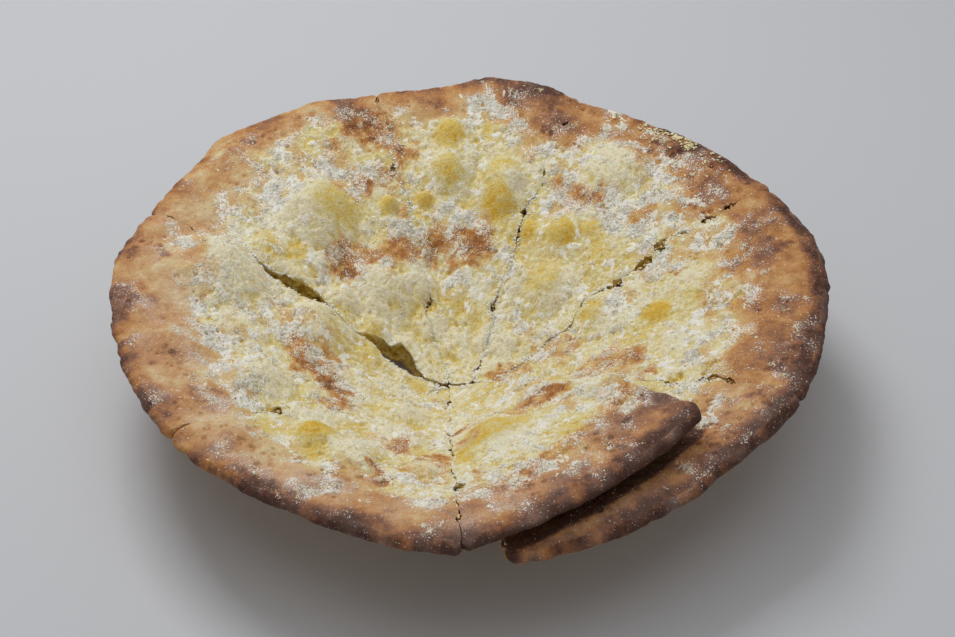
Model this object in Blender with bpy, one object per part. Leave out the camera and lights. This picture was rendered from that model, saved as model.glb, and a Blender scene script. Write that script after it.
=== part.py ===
"""A flat round cheese bread, cut into eight wedges and sagging in the middle like a wide shallow bowl.

Metres, +Z up. The origin is under the middle of the outline, on the small flat spot that the bread rests on,
and +Y points to the back. The wedges are laid out round the middle of the round, and then moved together by
ORIGIN_SHIFT. Every wedge is one closed solid: a baked top with its blisters, a smooth underside, cut sides, a
rounded crust edge and clumps of melted cheese fused to the top. Seven wedges fill the round. The eighth,
slice_over, rides over slice_under, because a sagging round has no room for all eight side by side.
"""

import math
import random

import bpy
import numpy as np
from mathutils import Matrix, Vector, noise
from mathutils.geometry import delaunay_2d_cdt

MM = 0.001

# The whole bread
RIM_RADIUS = 150 * MM
RIM_HEIGHT = 65.5 * MM  # top of the crust above the flat spot
SAG_DEPTH = 58 * MM  # the middle of the top below the crust
SAG_FLAT_RADIUS = 15 * MM
SAG_BEND = 0.08  # how softly the floor of the bowl turns up, as a share of its slope length
SAG_POWER = 1.4  # above 1, the sides are steep low down and flare out towards the rim
THICKNESS = 9.5 * MM
CENTRE = (-8 * MM, -2 * MM)  # about where the cuts cross, from the middle of the round
ORIGIN_SHIFT = (0, -3.8 * MM, 0)  # puts the origin under the middle of the whole outline

# The crust edge: the top ends EDGE_INSET inside the outermost line, and rounds down over EDGE_BAND
EDGE_INSET = 3 * MM
EDGE_BAND = 9 * MM
EDGE_DROP = 1.8 * MM
EDGE_BOTTOM_INSET = 2.0 * MM

# Bulges and dents of the outline: direction and half width in degrees, and how far out
RIM_BULGES = (
    (10, 16, 5.5 * MM),
    (60, 16, -3 * MM),
    (84, 10, 7.5 * MM),
    (101, 8, -2 * MM),
    (132, 18, 7 * MM),
    (138, 5, 2.5 * MM),
    (173, 12, 5 * MM),
    (-150, 12, -1.5 * MM),
    (-118, 20, -7 * MM),
)
UNDER_INSET = 7 * MM  # the pressed-down wedge is steeper, so its rim lies further in
UNDER_INSET_TURN = (-46, -26)  # and comes back to the round between these directions

# The cuts: direction of the rim end in degrees, inner end, bow to the anticlockwise side, swing
CUTS = {
    "left": (161, (-13 * MM, -2 * MM), -1.5 * MM, 1.0),
    "back_left": (107.8, (-9 * MM, -0.5 * MM), 0.0, 1.0),
    "back": (69.1, (1 * MM, 0), 4 * MM, 0.8),
    "back_right": (25.7, (8 * MM, -2 * MM), 4.5 * MM, 1.0),
    "right": (-26.8, (8 * MM, -3.5 * MM), 0.0, 1.0),
    "under": (-83.8, (-6 * MM, -6 * MM), 0.0, 0.7),
    "front": (-90.8, (-9 * MM, -4 * MM), -1.5 * MM, 0.35),
    "front_left": (-143, (-12.5 * MM, -3 * MM), 3.5 * MM, 0.8),
}
KERF = 1.3 * MM
TIP_GAP = 1.5 * MM  # from a cut's inner end to the corners of the tips beside it
CUT_WAVES = ((1.7 * MM, 37 * MM), (0.7 * MM, 21 * MM))  # sideways swing and its wavelength

# Where the left cut gapes: distance from the crossing, half length and extra width of each opening
GAPES = ((22 * MM, 17 * MM, 9.5 * MM), (71 * MM, 20 * MM, 5.5 * MM))
GAPE_SHARE = 0.62  # the share of the gape taken from slice_back_left

# The raised wedge: its left side lies along the front cut, its free side is propped up on slice_under
OVER_END = (90.5 * MM, -83 * MM)
OVER_CROWN = 6.5 * MM  # how far its crust line bulges out between its two corners
OVER_LIFT = (1.5 * MM, 18.5 * MM)  # at its left side and at its free side
OVER_LIFT_POWER = 0.85
OVER_RISE = 28 * MM  # distance from the tip over which it lifts off
OVER_DROOP = 3 * MM  # its crust hangs a little
OVER_DROOP_LENGTH = 30 * MM
UNDER_LIFT = (-11.5 * MM, 0.0)
UNDER_START = (38 * MM, 8 * MM)  # the pressed-down wedge starts this far along its left and right cuts

# Blisters and pillows of the top: x, y, radius, height
BLISTERS = (
    (-69, 67, 26, 5.5),
    (-89, 42, 15, 3.0),
    (-34, 44, 22, 4.0),
    (-62, 116, 14, 2.0),
    (-37, 80, 5, 2.2),
    (-10, 98, 16, 4.5),
    (17, 92, 16, 4.0),
    (-8, 119, 12, 3.0),
    (-14, 57, 14, -2.0),
    (66, 92, 20, 3.5),
    (40, 64, 16, 4.0),
    (34, 38, 13, 3.0),
    (97, 16, 24, 2.5),
    (56, 22, 14, 2.5),
    (81, 8, 8, 1.2),
    (108, -40, 16, 2.5),
    (-110, 20, 27, 6.5),
    (-66, 6, 19, 4.5),
    (-88, -43, 17, 6.0),
    (-120, -30, 15, 2.0),
    (-61, -77, 13, 4.5),
    (-45, -88, 17, 3.5),
    (-30, -40, 15, 3.0),
    (-95, -85, 16, 2.5),
)
OVER_BLISTERS = (
    (9, -68, 22, 5.5),
    (64, -56, 18, 5.0),
    (45, -88, 16, 2.0),
)
UNDER_BLISTERS = ((118, -72, 18, 2.5),)
RIPPLE_HEIGHT = 1.3 * MM
RIPPLE_LENGTH = 21 * MM
CRUST_RIPPLE_HEIGHT = 1.6 * MM
CRUST_RIPPLE_LENGTH = 17 * MM
CRUST_WIDTH = 26 * MM

# Facets
TOP_SPACING = 6.6 * MM
UNDERSIDE_SPACING = 13 * MM
RIM_SPACING = 6.6 * MM

# Clumps of cheese fused to the top
CLUMPS_PER_SLICE = 17
CLUMP_SPACING = 9 * MM
CLUMP_CLEARANCE = 6.5 * MM  # from the cuts
CLUMP_CRUST_GAP = 24 * MM  # from the outline, where the bare crust begins
CLUMP_LENGTH = (5.5 * MM, 9 * MM)
CLUMP_WIDTH = 0.52
CLUMP_HEIGHT = (2.4 * MM, 3.4 * MM)

# Name, cut on its clockwise side, cut on its anticlockwise side, colour
SLICES = (
    ("slice_right", "right", "back_right", (0.70, 0.52, 0.30)),
    ("slice_back_right", "back_right", "back", (0.74, 0.60, 0.36)),
    ("slice_back", "back", "back_left", (0.76, 0.63, 0.34)),
    ("slice_back_left", "back_left", "left", (0.76, 0.65, 0.38)),
    ("slice_left", "left", "front_left", (0.73, 0.60, 0.38)),
    ("slice_front_left", "front_left", "front", (0.72, 0.58, 0.33)),
    ("slice_under", "under", "right", (0.58, 0.38, 0.22)),
    ("slice_over", "front", "over", (0.68, 0.52, 0.30)),
)


def smooth_step(share):
    """0 below 0, 1 above 1, and a soft turn between."""
    share = min(max(share, 0.0), 1.0)
    return share * share * (3 - 2 * share)


def hump(distance):
    """A round hill: 1 in the middle, 0 from distance 1 outwards."""
    return (1 - distance * distance) ** 2 if distance < 1 else 0.0


def turn_between(angle, other):
    """The difference of two directions in degrees, from -180 to 180."""
    return (angle - other + 180) % 360 - 180


def rim_radius(angle):
    """How far the outermost line of the crust lies from the middle, in a direction in degrees."""
    bulges = sum(
        out * math.exp(-((turn_between(angle, middle) / half_width) ** 2))
        for middle, half_width, out in RIM_BULGES
    )
    return RIM_RADIUS + bulges


def under_radius(angle):
    """The same for the pressed-down wedge."""
    low, high = UNDER_INSET_TURN
    return rim_radius(angle) - UNDER_INSET * (1 - smooth_step((angle - low) / (high - low)))


def sag(radius):
    """Height of the smooth top at a distance from the middle."""
    share = max(0.0, (radius - SAG_FLAT_RADIUS) / (RIM_RADIUS - SAG_FLAT_RADIUS))
    full = math.sqrt(1 + SAG_BEND**2) - SAG_BEND
    eased = min((math.sqrt(share**2 + SAG_BEND**2) - SAG_BEND) / full, 1.0)
    return RIM_HEIGHT - SAG_DEPTH * (1 - eased) ** SAG_POWER


def sag_slope(radius):
    """Rise of the smooth top for each metre outwards."""
    step = 1 * MM
    return (sag(radius + step) - sag(radius - step)) / (2 * step)


def relief(x, y, from_rim, blisters):
    """Blisters, pillows and ripples of the baked top."""
    height = 0.0
    for middle_x, middle_y, radius, rise in blisters:
        distance = math.hypot(x / MM - middle_x, y / MM - middle_y) / radius
        height += rise * MM * hump(distance)
    place = Vector((x, y, 0))
    height += RIPPLE_HEIGHT * noise.noise(place / RIPPLE_LENGTH)
    crust = 1 - smooth_step(from_rim / CRUST_WIDTH)
    height += crust * CRUST_RIPPLE_HEIGHT * noise.noise(place / CRUST_RIPPLE_LENGTH + Vector((7, 3, 5)))
    edge = 1 - min(max(from_rim / EDGE_BAND, 0.0), 1.0)
    return height - EDGE_DROP * edge**2


def polar(angle, radius):
    """Point at a direction in degrees and a distance from the middle."""
    return np.array((radius * math.cos(math.radians(angle)), radius * math.sin(math.radians(angle))))


def cut_end(cut):
    """Where a cut meets the line that the flat top ends on."""
    if cut == "over":
        return np.array(OVER_END)
    angle = CUTS[cut][0]
    radius = under_radius(angle) if cut == "under" else rim_radius(angle)
    return polar(angle, radius - EDGE_INSET)


def cut_start(cut):
    """The inner end of a cut."""
    return np.array(CUTS["front" if cut == "over" else cut][1])


def cut_length(cut):
    return np.linalg.norm(cut_end(cut) - cut_start(cut))


def cut_point(cut, distance, side):
    """Point on one side of a cut, at a distance from its inner end. Side is 1 anticlockwise and -1 clockwise."""
    length = cut_length(cut)
    along = (cut_end(cut) - cut_start(cut)) / length
    across = np.array((-along[1], along[0]))
    bow, swing = (0.0, 0.5) if cut == "over" else CUTS[cut][2:]
    phase = len(cut) * 1.7
    fade = smooth_step(distance / (30 * MM)) * smooth_step((length - distance) / (12 * MM))
    waves = sum(reach * math.sin(2 * math.pi * distance / wavelength + phase) for reach, wavelength in CUT_WAVES)
    offset = swing * fade * waves + bow * math.sin(math.pi * distance / length) + side * KERF / 2
    if cut == "left":
        share = GAPE_SHARE if side < 0 else 1 - GAPE_SHARE
        for middle, half_length, width in GAPES:
            offset += side * share * width * hump(abs(distance - middle) / half_length)
    return cut_start(cut) + along * distance + across * offset


def cut_distances(cut, begin):
    """Distances of the outline points along a cut, counted inwards from the rim, so that both sides match."""
    length = cut_length(cut)
    count = round((length - begin) / RIM_SPACING)
    return [begin] + [length - RIM_SPACING * i for i in range(count - 1, -1, -1)]


class Slice:
    """One wedge: its outline from above, and the heights of its top and underside."""

    def __init__(self, name, first_cut, last_cut):
        self.name = name
        self.first_cut = first_cut
        self.last_cut = last_cut
        self.blisters = {"slice_over": OVER_BLISTERS, "slice_under": UNDER_BLISTERS}.get(name, BLISTERS)
        start = np.array(CENTRE)
        self.first_angle = self.direction(cut_end(first_cut) - start)
        self.spread = (self.direction(cut_end(last_cut) - start) - self.first_angle) % 360

    @staticmethod
    def direction(vector):
        return math.degrees(math.atan2(vector[1], vector[0]))

    def share_across(self, x, y):
        """0 at the first cut, 1 at the last cut."""
        angle = self.direction((x - CENTRE[0], y - CENTRE[1]))
        return turn_between(angle, self.first_angle) / self.spread

    def lift(self, x, y):
        """How far the wedge is raised above the smooth round, or pressed down."""
        share = min(max(self.share_across(x, y), 0.0), 1.0)
        if self.name == "slice_over":
            low, high = OVER_LIFT
            from_tip = math.hypot(x - CENTRE[0], y - CENTRE[1])
            droop = share * OVER_DROOP * (1 - smooth_step(self.from_rim(x, y) / OVER_DROOP_LENGTH))
            return low + (high - low) * share**OVER_LIFT_POWER * smooth_step(from_tip / OVER_RISE) - droop
        if self.name == "slice_under":
            low, high = UNDER_LIFT
            return low + (high - low) * share
        return 0.0

    def from_rim(self, x, y):
        """Distance from the outer end of the top."""
        if self.name == "slice_over":
            share = min(max(self.share_across(x, y), 0.0), 1.0)
            return self.over_length(share) - math.hypot(x - CENTRE[0], y - CENTRE[1])
        return self.edge_radius(self.direction((x, y))) - math.hypot(x, y)

    def edge_radius(self, angle):
        """Where the top ends, from the middle of the round."""
        radius = under_radius(angle) if self.name == "slice_under" else rim_radius(angle)
        return radius - EDGE_INSET

    def over_length(self, share):
        """Length of the raised wedge from the crossing to its crust: a crowned chord between its corners."""
        start = np.array(CENTRE)
        first = cut_end(self.first_cut) - start
        chord = cut_end(self.last_cut) - start - first
        angle = math.radians(self.first_angle + self.spread * share)
        ray = np.array((math.cos(angle), math.sin(angle)))
        to_chord = (first[0] * chord[1] - first[1] * chord[0]) / (ray[0] * chord[1] - ray[1] * chord[0])
        return to_chord + OVER_CROWN * math.sin(math.pi * share)

    def rim_points(self):
        """The crust line, from the first cut to the last, ends left out."""
        start = np.array(CENTRE)
        first = cut_end(self.first_cut)
        last = cut_end(self.last_cut)
        count = max(4, round(np.linalg.norm(last - first) * 1.05 / RIM_SPACING))
        points = []
        for i in range(1, count):
            share = i / count
            if self.name == "slice_over":
                angle = math.radians(self.first_angle + self.spread * share)
                points.append(start + self.over_length(share) * np.array((math.cos(angle), math.sin(angle))))
            else:
                first_rim = self.direction(first)
                turn = (self.direction(last) - first_rim) % 360
                angle = first_rim + turn * share
                points.append(polar(angle, self.edge_radius(turn_between(angle, 0))))
        return points

    def outline(self):
        """Anticlockwise points of the top from above, and for each whether it is on the crust edge."""
        starts = UNDER_START if self.name == "slice_under" else (TIP_GAP, TIP_GAP)
        sides = []
        for cut, side, begin in ((self.first_cut, 1, starts[0]), (self.last_cut, -1, starts[1])):
            distances = cut_distances(cut, begin)
            sides.append([cut_point(cut, distance, side) for distance in distances])
        inner = []
        if self.name == "slice_under":
            first, last = sides[0][0], sides[1][0]
            count = round(np.linalg.norm(last - first) / RIM_SPACING)
            inner = [last + (first - last) * i / count for i in range(1, count)]
        rim = self.rim_points()
        points = sides[0] + rim + sides[1][::-1] + inner
        first_rim = len(sides[0]) - 1
        last_rim = first_rim + len(rim) + 1
        on_rim = [first_rim <= i <= last_rim for i in range(len(points))]
        return points, on_rim

    def top(self, x, y):
        return sag(math.hypot(x, y)) + self.lift(x, y) + relief(x, y, self.from_rim(x, y), self.blisters)

    def underside(self, x, y):
        """The smooth underside, flat where the bread rests."""
        radius = math.hypot(x, y)
        depth = THICKNESS * math.sqrt(1 + sag_slope(radius) ** 2)
        edge = 1 - min(max(self.from_rim(x, y) / EDGE_BAND, 0.0), 1.0)
        return max(0.0, sag(radius) + self.lift(x, y) - depth + EDGE_DROP * edge**2)


def inside(points, outline, margin):
    """Which points lie inside the outline and further than margin from it."""
    points = np.array(points)
    outline = np.array(outline)
    following = np.roll(outline, -1, axis=0)
    crossings = np.zeros(len(points), dtype=int)
    nearest = np.full(len(points), np.inf)
    for a, b in zip(outline, following):
        spans = (a[1] > points[:, 1]) != (b[1] > points[:, 1])
        rise = b[1] - a[1] if b[1] != a[1] else 1.0
        crossing_x = a[0] + (points[:, 1] - a[1]) / rise * (b[0] - a[0])
        crossings += spans & (points[:, 0] < crossing_x)
        edge = b - a
        share = np.clip(((points - a) @ edge) / (edge @ edge), 0, 1)
        nearest = np.minimum(nearest, np.linalg.norm(points - a - share[:, None] * edge, axis=1))
    return points[(crossings % 2 == 1) & (nearest > margin)]


def triangle_grid(outline, spacing):
    """Points of a grid of equal triangles inside an outline."""
    low = np.min(outline, axis=0)
    high = np.max(outline, axis=0)
    row_height = spacing * math.sqrt(3) / 2
    points = []
    for row in range(int((high[1] - low[1]) / row_height) + 2):
        shift = spacing / 2 if row % 2 else 0.0
        for column in range(int((high[0] - low[0]) / spacing) + 2):
            points.append((low[0] + column * spacing + shift, low[1] + row * row_height))
    return inside(points, outline, spacing * 0.55)


def triangulate(outline, inner):
    """Triangles over an outline and the points inside it, as indices into outline followed by inner."""
    flat = [Vector((p[0] / MM, p[1] / MM)) for p in list(outline) + list(inner)]
    boundary = list(range(len(outline)))
    edges = [(i, (i + 1) % len(outline)) for i in boundary]
    _, _, faces, original, _, _ = delaunay_2d_cdt(flat, edges, [boundary], 1, 1e-5)
    return [[original[corner][0] for corner in face] for face in faces]


def slice_mesh(wedge):
    """The closed mesh of one wedge: top, underside, and a wall of two bands that rounds out at the crust."""
    outline, on_rim = wedge.outline()
    count = len(outline)
    top_inner = list(triangle_grid(outline, TOP_SPACING))
    bottom_outline = []
    middle_outline = []
    for point, rim in zip(outline, on_rim):
        outwards = point / np.linalg.norm(point)
        bottom_outline.append(point + outwards * (EDGE_INSET - EDGE_BOTTOM_INSET if rim else 0.0))
        middle_outline.append(point + outwards * (EDGE_INSET if rim else 0.0))
    bottom_inner = list(triangle_grid(bottom_outline, UNDERSIDE_SPACING))

    vertices = [(x, y, wedge.top(x, y)) for x, y in outline + top_inner]
    bottom_start = len(vertices)
    vertices += [(x, y, wedge.underside(x, y)) for x, y in bottom_outline + bottom_inner]
    middle_start = len(vertices)
    for i, (x, y) in enumerate(middle_outline):
        vertices.append((x, y, (vertices[i][2] + vertices[bottom_start + i][2]) / 2))

    faces = triangulate(outline, top_inner)
    faces += [[bottom_start + i for i in reversed(face)] for face in triangulate(bottom_outline, bottom_inner)]
    for i in range(count):
        j = (i + 1) % count
        for low, high in ((bottom_start, middle_start), (middle_start, 0)):
            faces.append([low + i, low + j, high + j])
            faces.append([low + i, high + j, high + i])

    mesh = bpy.data.meshes.new(wedge.name)
    mesh.from_pydata(vertices, [], faces)
    mesh.validate()
    return mesh, outline


def baked_material(name, colour):
    """A dry baked surface."""
    material = bpy.data.materials.new(name)
    material.use_nodes = True
    shader = material.node_tree.nodes["Principled BSDF"]
    shader.inputs["Base Color"].default_value = (*colour, 1)
    shader.inputs["Roughness"].default_value = 0.8
    shader.inputs["Metallic"].default_value = 0.0
    return material


def clump_mesh(name, draw):
    """A squashed lump of melted cheese with twenty uneven faces."""
    golden = (1 + math.sqrt(5)) / 2
    corners = []
    for a in (-1, 1):
        for b in (-golden, golden):
            corners += [(0, a, b), (a, b, 0), (b, 0, a)]
    points = [Vector(c).normalized() * draw.uniform(0.85, 1.15) for c in corners]
    edge = 2 / math.sqrt(1 + golden**2) + 0.01
    near = [[(Vector(c).normalized() - Vector(d).normalized()).length < edge for c in corners] for d in corners]
    faces = []
    for i in range(12):
        for j in range(i + 1, 12):
            for k in range(j + 1, 12):
                if near[i][j] and near[j][k] and near[i][k]:
                    outwards = (points[j] - points[i]).cross(points[k] - points[i]).dot(points[i]) > 0
                    faces.append((i, j, k) if outwards else (i, k, j))
    mesh = bpy.data.meshes.new(name)
    mesh.from_pydata(points, [], faces)
    length = draw.uniform(*CLUMP_LENGTH) / 2
    height = draw.uniform(*CLUMP_HEIGHT) / 2
    mesh.transform(Matrix.Diagonal((length, length * CLUMP_WIDTH, height, 1)))
    return mesh


def clump_places(wedge, outline, draw):
    """Places on the cheesy part of the top, clear of the cuts, the crust and each other."""
    low = np.min(outline, axis=0)
    high = np.max(outline, axis=0)
    tries = [(draw.uniform(low[0], high[0]), draw.uniform(low[1], high[1])) for _ in range(2500)]
    places = []
    for x, y in inside(tries, outline, CLUMP_CLEARANCE):
        crowded = any(math.hypot(x - u, y - v) < CLUMP_SPACING for u, v in places)
        covered = wedge.name == "slice_under" and wedge.from_rim(x, y) > CLUMP_CRUST_GAP
        if wedge.from_rim(x, y) > CLUMP_CRUST_GAP and not crowded and not covered:
            places.append((x, y))
        if len(places) == CLUMPS_PER_SLICE:
            break
    return places


def surface_turn(wedge, x, y, heading):
    """The rotation that lays a lump on the top at a place, turned to a heading."""
    step = 2 * MM
    slope_x = (wedge.top(x + step, y) - wedge.top(x - step, y)) / (2 * step)
    slope_y = (wedge.top(x, y + step) - wedge.top(x, y - step)) / (2 * step)
    normal = Vector((-slope_x, -slope_y, 1)).normalized()
    return normal.to_track_quat("Z", "Y").to_matrix().to_4x4() @ Matrix.Rotation(heading, 4, "Z")


def fuse_clumps(bread, wedge, outline, draw):
    """Joins lumps of cheese to a wedge by one Boolean union, which is then applied."""
    lumps = bpy.data.collections.new(wedge.name + "_lumps")
    bpy.context.scene.collection.children.link(lumps)
    for i, (x, y) in enumerate(clump_places(wedge, outline, draw)):
        lump = bpy.data.objects.new(f"{wedge.name}_lump_{i}", clump_mesh("lump", draw))
        turn = surface_turn(wedge, x, y, draw.uniform(0, math.pi))
        lump.matrix_world = Matrix.Translation((x, y, wedge.top(x, y) + 0.2 * MM)) @ turn
        lumps.objects.link(lump)
    if lumps.objects:
        union = bread.modifiers.new("fuse", "BOOLEAN")
        union.operation = "UNION"
        union.operand_type = "COLLECTION"
        union.collection = lumps
        union.solver = "EXACT"
        bpy.context.view_layer.update()
        fused = bpy.data.meshes.new_from_object(bread.evaluated_get(bpy.context.evaluated_depsgraph_get()))
        bread.modifiers.clear()
        bread.data = fused
    for lump in list(lumps.objects):
        bpy.data.objects.remove(lump)
    bpy.data.collections.remove(lumps)


def main():
    for old in list(bpy.data.objects):
        bpy.data.objects.remove(old)
    draw = random.Random(8)
    for name, first_cut, last_cut, colour in SLICES:
        wedge = Slice(name, first_cut, last_cut)
        mesh, outline = slice_mesh(wedge)
        bread = bpy.data.objects.new(name, mesh)
        bpy.context.scene.collection.objects.link(bread)
        fuse_clumps(bread, wedge, outline, draw)
        bread.location = ORIGIN_SHIFT
        bread.data.materials.clear()
        bread.data.materials.append(baked_material(name, colour))
        bread.data.shade_smooth()


main()
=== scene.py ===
"""The looks of a flat round cheese bread, cut into eight wedges and sagging like a wide shallow bowl.

The numbers of the bread are in millimetres and degrees, in the layout of the solids: the middle of the
round is at (0, 0) and +Y points to the back. LAYOUT_SHIFT moves the finished meshes to the frame's origin.
Each wedge is one closed fine mesh that stands for its solid. Grated cheese and crumbs are small meshes
scattered on top.
"""

import math
from types import SimpleNamespace

import bpy
import numpy as np
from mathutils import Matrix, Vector, noise
from mathutils.bvhtree import BVHTree
from mathutils.geometry import delaunay_2d_cdt
from mathutils.kdtree import KDTree


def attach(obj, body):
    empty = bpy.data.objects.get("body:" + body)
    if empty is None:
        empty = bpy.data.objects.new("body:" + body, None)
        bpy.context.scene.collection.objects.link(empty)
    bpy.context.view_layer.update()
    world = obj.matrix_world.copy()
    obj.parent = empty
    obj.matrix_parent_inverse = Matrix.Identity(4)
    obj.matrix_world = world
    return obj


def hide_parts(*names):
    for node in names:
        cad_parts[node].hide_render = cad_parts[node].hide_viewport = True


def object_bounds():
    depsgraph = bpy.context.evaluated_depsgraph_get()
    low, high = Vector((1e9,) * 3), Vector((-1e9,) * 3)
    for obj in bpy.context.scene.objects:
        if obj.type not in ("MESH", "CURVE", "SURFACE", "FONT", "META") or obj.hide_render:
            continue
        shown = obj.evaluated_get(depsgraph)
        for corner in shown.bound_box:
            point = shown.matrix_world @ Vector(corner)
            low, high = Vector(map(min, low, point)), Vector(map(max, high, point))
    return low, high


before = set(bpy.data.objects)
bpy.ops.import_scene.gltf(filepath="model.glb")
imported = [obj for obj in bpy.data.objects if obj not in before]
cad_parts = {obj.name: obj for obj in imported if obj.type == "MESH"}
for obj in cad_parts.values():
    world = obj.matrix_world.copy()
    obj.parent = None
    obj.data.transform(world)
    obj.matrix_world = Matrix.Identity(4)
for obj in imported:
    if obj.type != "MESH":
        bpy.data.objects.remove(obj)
cad_low, cad_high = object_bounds()
scene = bpy.context.scene

MM = 0.001
BODY = "root"

# ---------------------------------------------------------------- the round, as in the solids
RIM_RADIUS = 150
RIM_HEIGHT = 65.5
SAG_DEPTH = 58
SAG_FLAT_RADIUS = 15
SAG_BEND = 0.08
SAG_POWER = 1.4
THICKNESS = 9.5
CENTRE = np.array((-8, -2))
LAYOUT_SHIFT = np.array((0, -3.8, 0))

EDGE_INSET = 3
EDGE_BAND = 9
EDGE_DROP = 1.8
EDGE_BOTTOM_INSET = 2

# Bulges and dents of the outline: direction, half width, how far out
RIM_BULGES = (
    (10, 16, 5.5), (60, 16, -3), (84, 10, 7.5), (101, 8, -2), (132, 18, 7), (138, 5, 2.5), (173, 12, 5),
    (-150, 12, -1.5), (-118, 20, -7),
)
UNDER_INSET = 7
UNDER_INSET_TURN = (-46, -26)

# The cuts: direction of the rim end, inner end, bow, swing, how far its edges round down
CUTS = {
    "left": (161, (-13, -2.2), -1.5, 1.0, 0.15),
    "back_left": (107.8, (-9, -2.2), 0.0, 1.0, 0.05),
    "back": (69.1, (1, -2.2), 4, 0.8, 0.2),
    "back_right": (25.7, (8, -2.4), 4.5, 1.0, 0.15),
    "right": (-26.8, (8, -2.9), 0.0, 1.0, 0.05),
    "under": (-83.8, (-6, -6), 0.0, 0.7, 0.5),
    "front": (-90.8, (-9, -2.9), -1.5, 0.35, 0.2),
    "front_left": (-143, (-12.5, -2.7), 3.5, 0.8, 0.2),
    "over": (None, (-9, -2.9), 0.0, 0.5, 0.4),
}

# Where a cut has torn open at the top: distance from its inner end, half length, width
OPENINGS = {
    "left": ((108, 4, 0.7), (119, 5, 0.5), (132, 6, 0.6)),
    "back_left": ((40, 6, 2.0), (90, 5, 0.9), (104, 3, 1.1), (121, 3, 1.2), (140, 5, 0.8)),
    "back": ((12, 5, 1.0), (42, 5, 1.0), (80, 14, 1.2), (101, 6, 1.3), (130, 3, 1.2), (143, 3, 2.0)),
    "back_right": ((46, 7, 1.6), (70, 18, 2.2), (91, 12, 2.0), (108, 14, 1.4), (124, 8, 0.8)),
    "right": ((85, 5, 1.6), (100, 6, 1.4), (112, 8, 0.7)),
    "front": ((13, 3, 0.6), (66, 5, 1.0), (106, 4, 1.8), (132, 7, 0.6)),
    "front_left": ((22, 4, 0.8), (60, 5, 0.7), (91, 6, 2.2), (128, 9, 0.6)),
}
OPEN_TO = 0.28  # how deep a torn opening reaches, as a share of the thickness
OVER_END = np.array((90.5, -83))
TIP_GAP = 0.4
HALF_GAP = 0.015
CUT_WAVES = ((1.7, 37), (0.7, 21))
CUT_WAVES_FADE = (30, 12)  # over how far they begin at the inner end, and end at the rim
SHOULDER_WIDTH = 2.2
SEAM_WIDTH = 1.2  # how near a cut the bits lie that cover it
WIGGLES = ((1.3, 4.5), (0.6, 1.9))  # how the torn line of a cut wanders: reach and length
RAGGED = 2.6  # how much rougher a cut's edges are where it is torn open

# Where the left cut gapes: distance from the crossing, half length, width, and how far its back side
# comes out below, as a share of its part of the width (negative where it is hollow below)
GAPES = ((22, 17, 9.5, -0.1), (71, 20, 5.5, 0.3))
GAPE_SHARE = 0.62
GAPE_ROUNDING = 0.35

# How far the edge of a wedge stands up at its first and last cut, where it was pushed up
LIPS = {
    "slice_back_left": (0.0, 1.6),
    "slice_back": (0.6, 0.0),
    "slice_back_right": (0.5, 0.0),
    "slice_front_left": (1.1, 0.0),
    "slice_over": (0.8, 0.5),
}
LIP_WIDTH = 9
LIP_REACH = 100

OVER_CROWN = 6.5
OVER_LIFT = (1.5, 18.5)
OVER_LIFT_POWER = 0.85
OVER_RISE = 28
OVER_DROOP = 3
OVER_DROOP_LENGTH = 30
UNDER_LIFT = (-11.5, 0.0)
UNDER_START = (38, 4)

DOME_GROWTH = 1.25  # how much more the fine blisters rise than those of the solids
RIPPLE = (1.3, 21)  # height and length
CRUST_RIPPLE = (1.6, 17)
CRUST_RIPPLE_WIDTH = 26

# Name, cut on its clockwise side, cut on its anticlockwise side
WEDGES = (
    ("slice_right", "right", "back_right"),
    ("slice_back_right", "back_right", "back"),
    ("slice_back", "back", "back_left"),
    ("slice_back_left", "back_left", "left"),
    ("slice_left", "left", "front_left"),
    ("slice_front_left", "front_left", "front"),
    ("slice_under", "under", "right"),
    ("slice_over", "front", "over"),
)

# ---------------------------------------------------------------- listed features
# Blisters and pillows: x, y, radius, height. "over" is the raised wedge and "under" the one below it.
BLISTERS = {
    "round": (
        (-69, 67, 26, 6.5), (-89, 42, 15, 3.0), (-34, 44, 22, 4.0), (-62, 116, 14, 2.0), (-37, 80, 5, 2.2),
        (-10, 98, 16, 4.5), (17, 92, 16, 4.0), (-8, 119, 12, 3.0), (-14, 57, 14, -2.0), (66, 92, 20, 3.5),
        (40, 64, 16, 4.0), (34, 38, 13, 3.0), (97, 16, 24, 2.5), (56, 22, 14, 2.5), (81, 8, 8, 1.2),
        (108, -40, 16, 2.5), (-110, 20, 27, 6.5), (-66, 6, 19, 4.5), (-88, -43, 17, 5.0),
        (-120, -30, 15, 2.0), (-61, -77, 13, 4.5), (-45, -88, 17, 3.5), (-30, -40, 15, 3.0),
        (-95, -85, 16, 2.5), (-21, 84, 5, 1.8), (13, 83, 8, 1.2), (42, 63, 7, 1.2), (27, 70, 5, 0.9),
        (55, 64, 5, 0.9), (-19, 8, 6, 1.6), (-30, 14, 7, 2.0), (-42, 20, 8, 1.8), (-56, 28, 9, 2.0),
        (-76, 34, 9, 1.8), (-45, 0, 8, 1.2), (-92, -50, 9, 1.5), (24, 88, 6, -1.6), (-40, 68, 7, -1.5),
    ),
    "over": ((9, -68, 22, 5.5), (64, -56, 18, 5.0), (45, -88, 16, 2.0)),
    "under": ((118, -72, 18, 2.5),),
}

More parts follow.
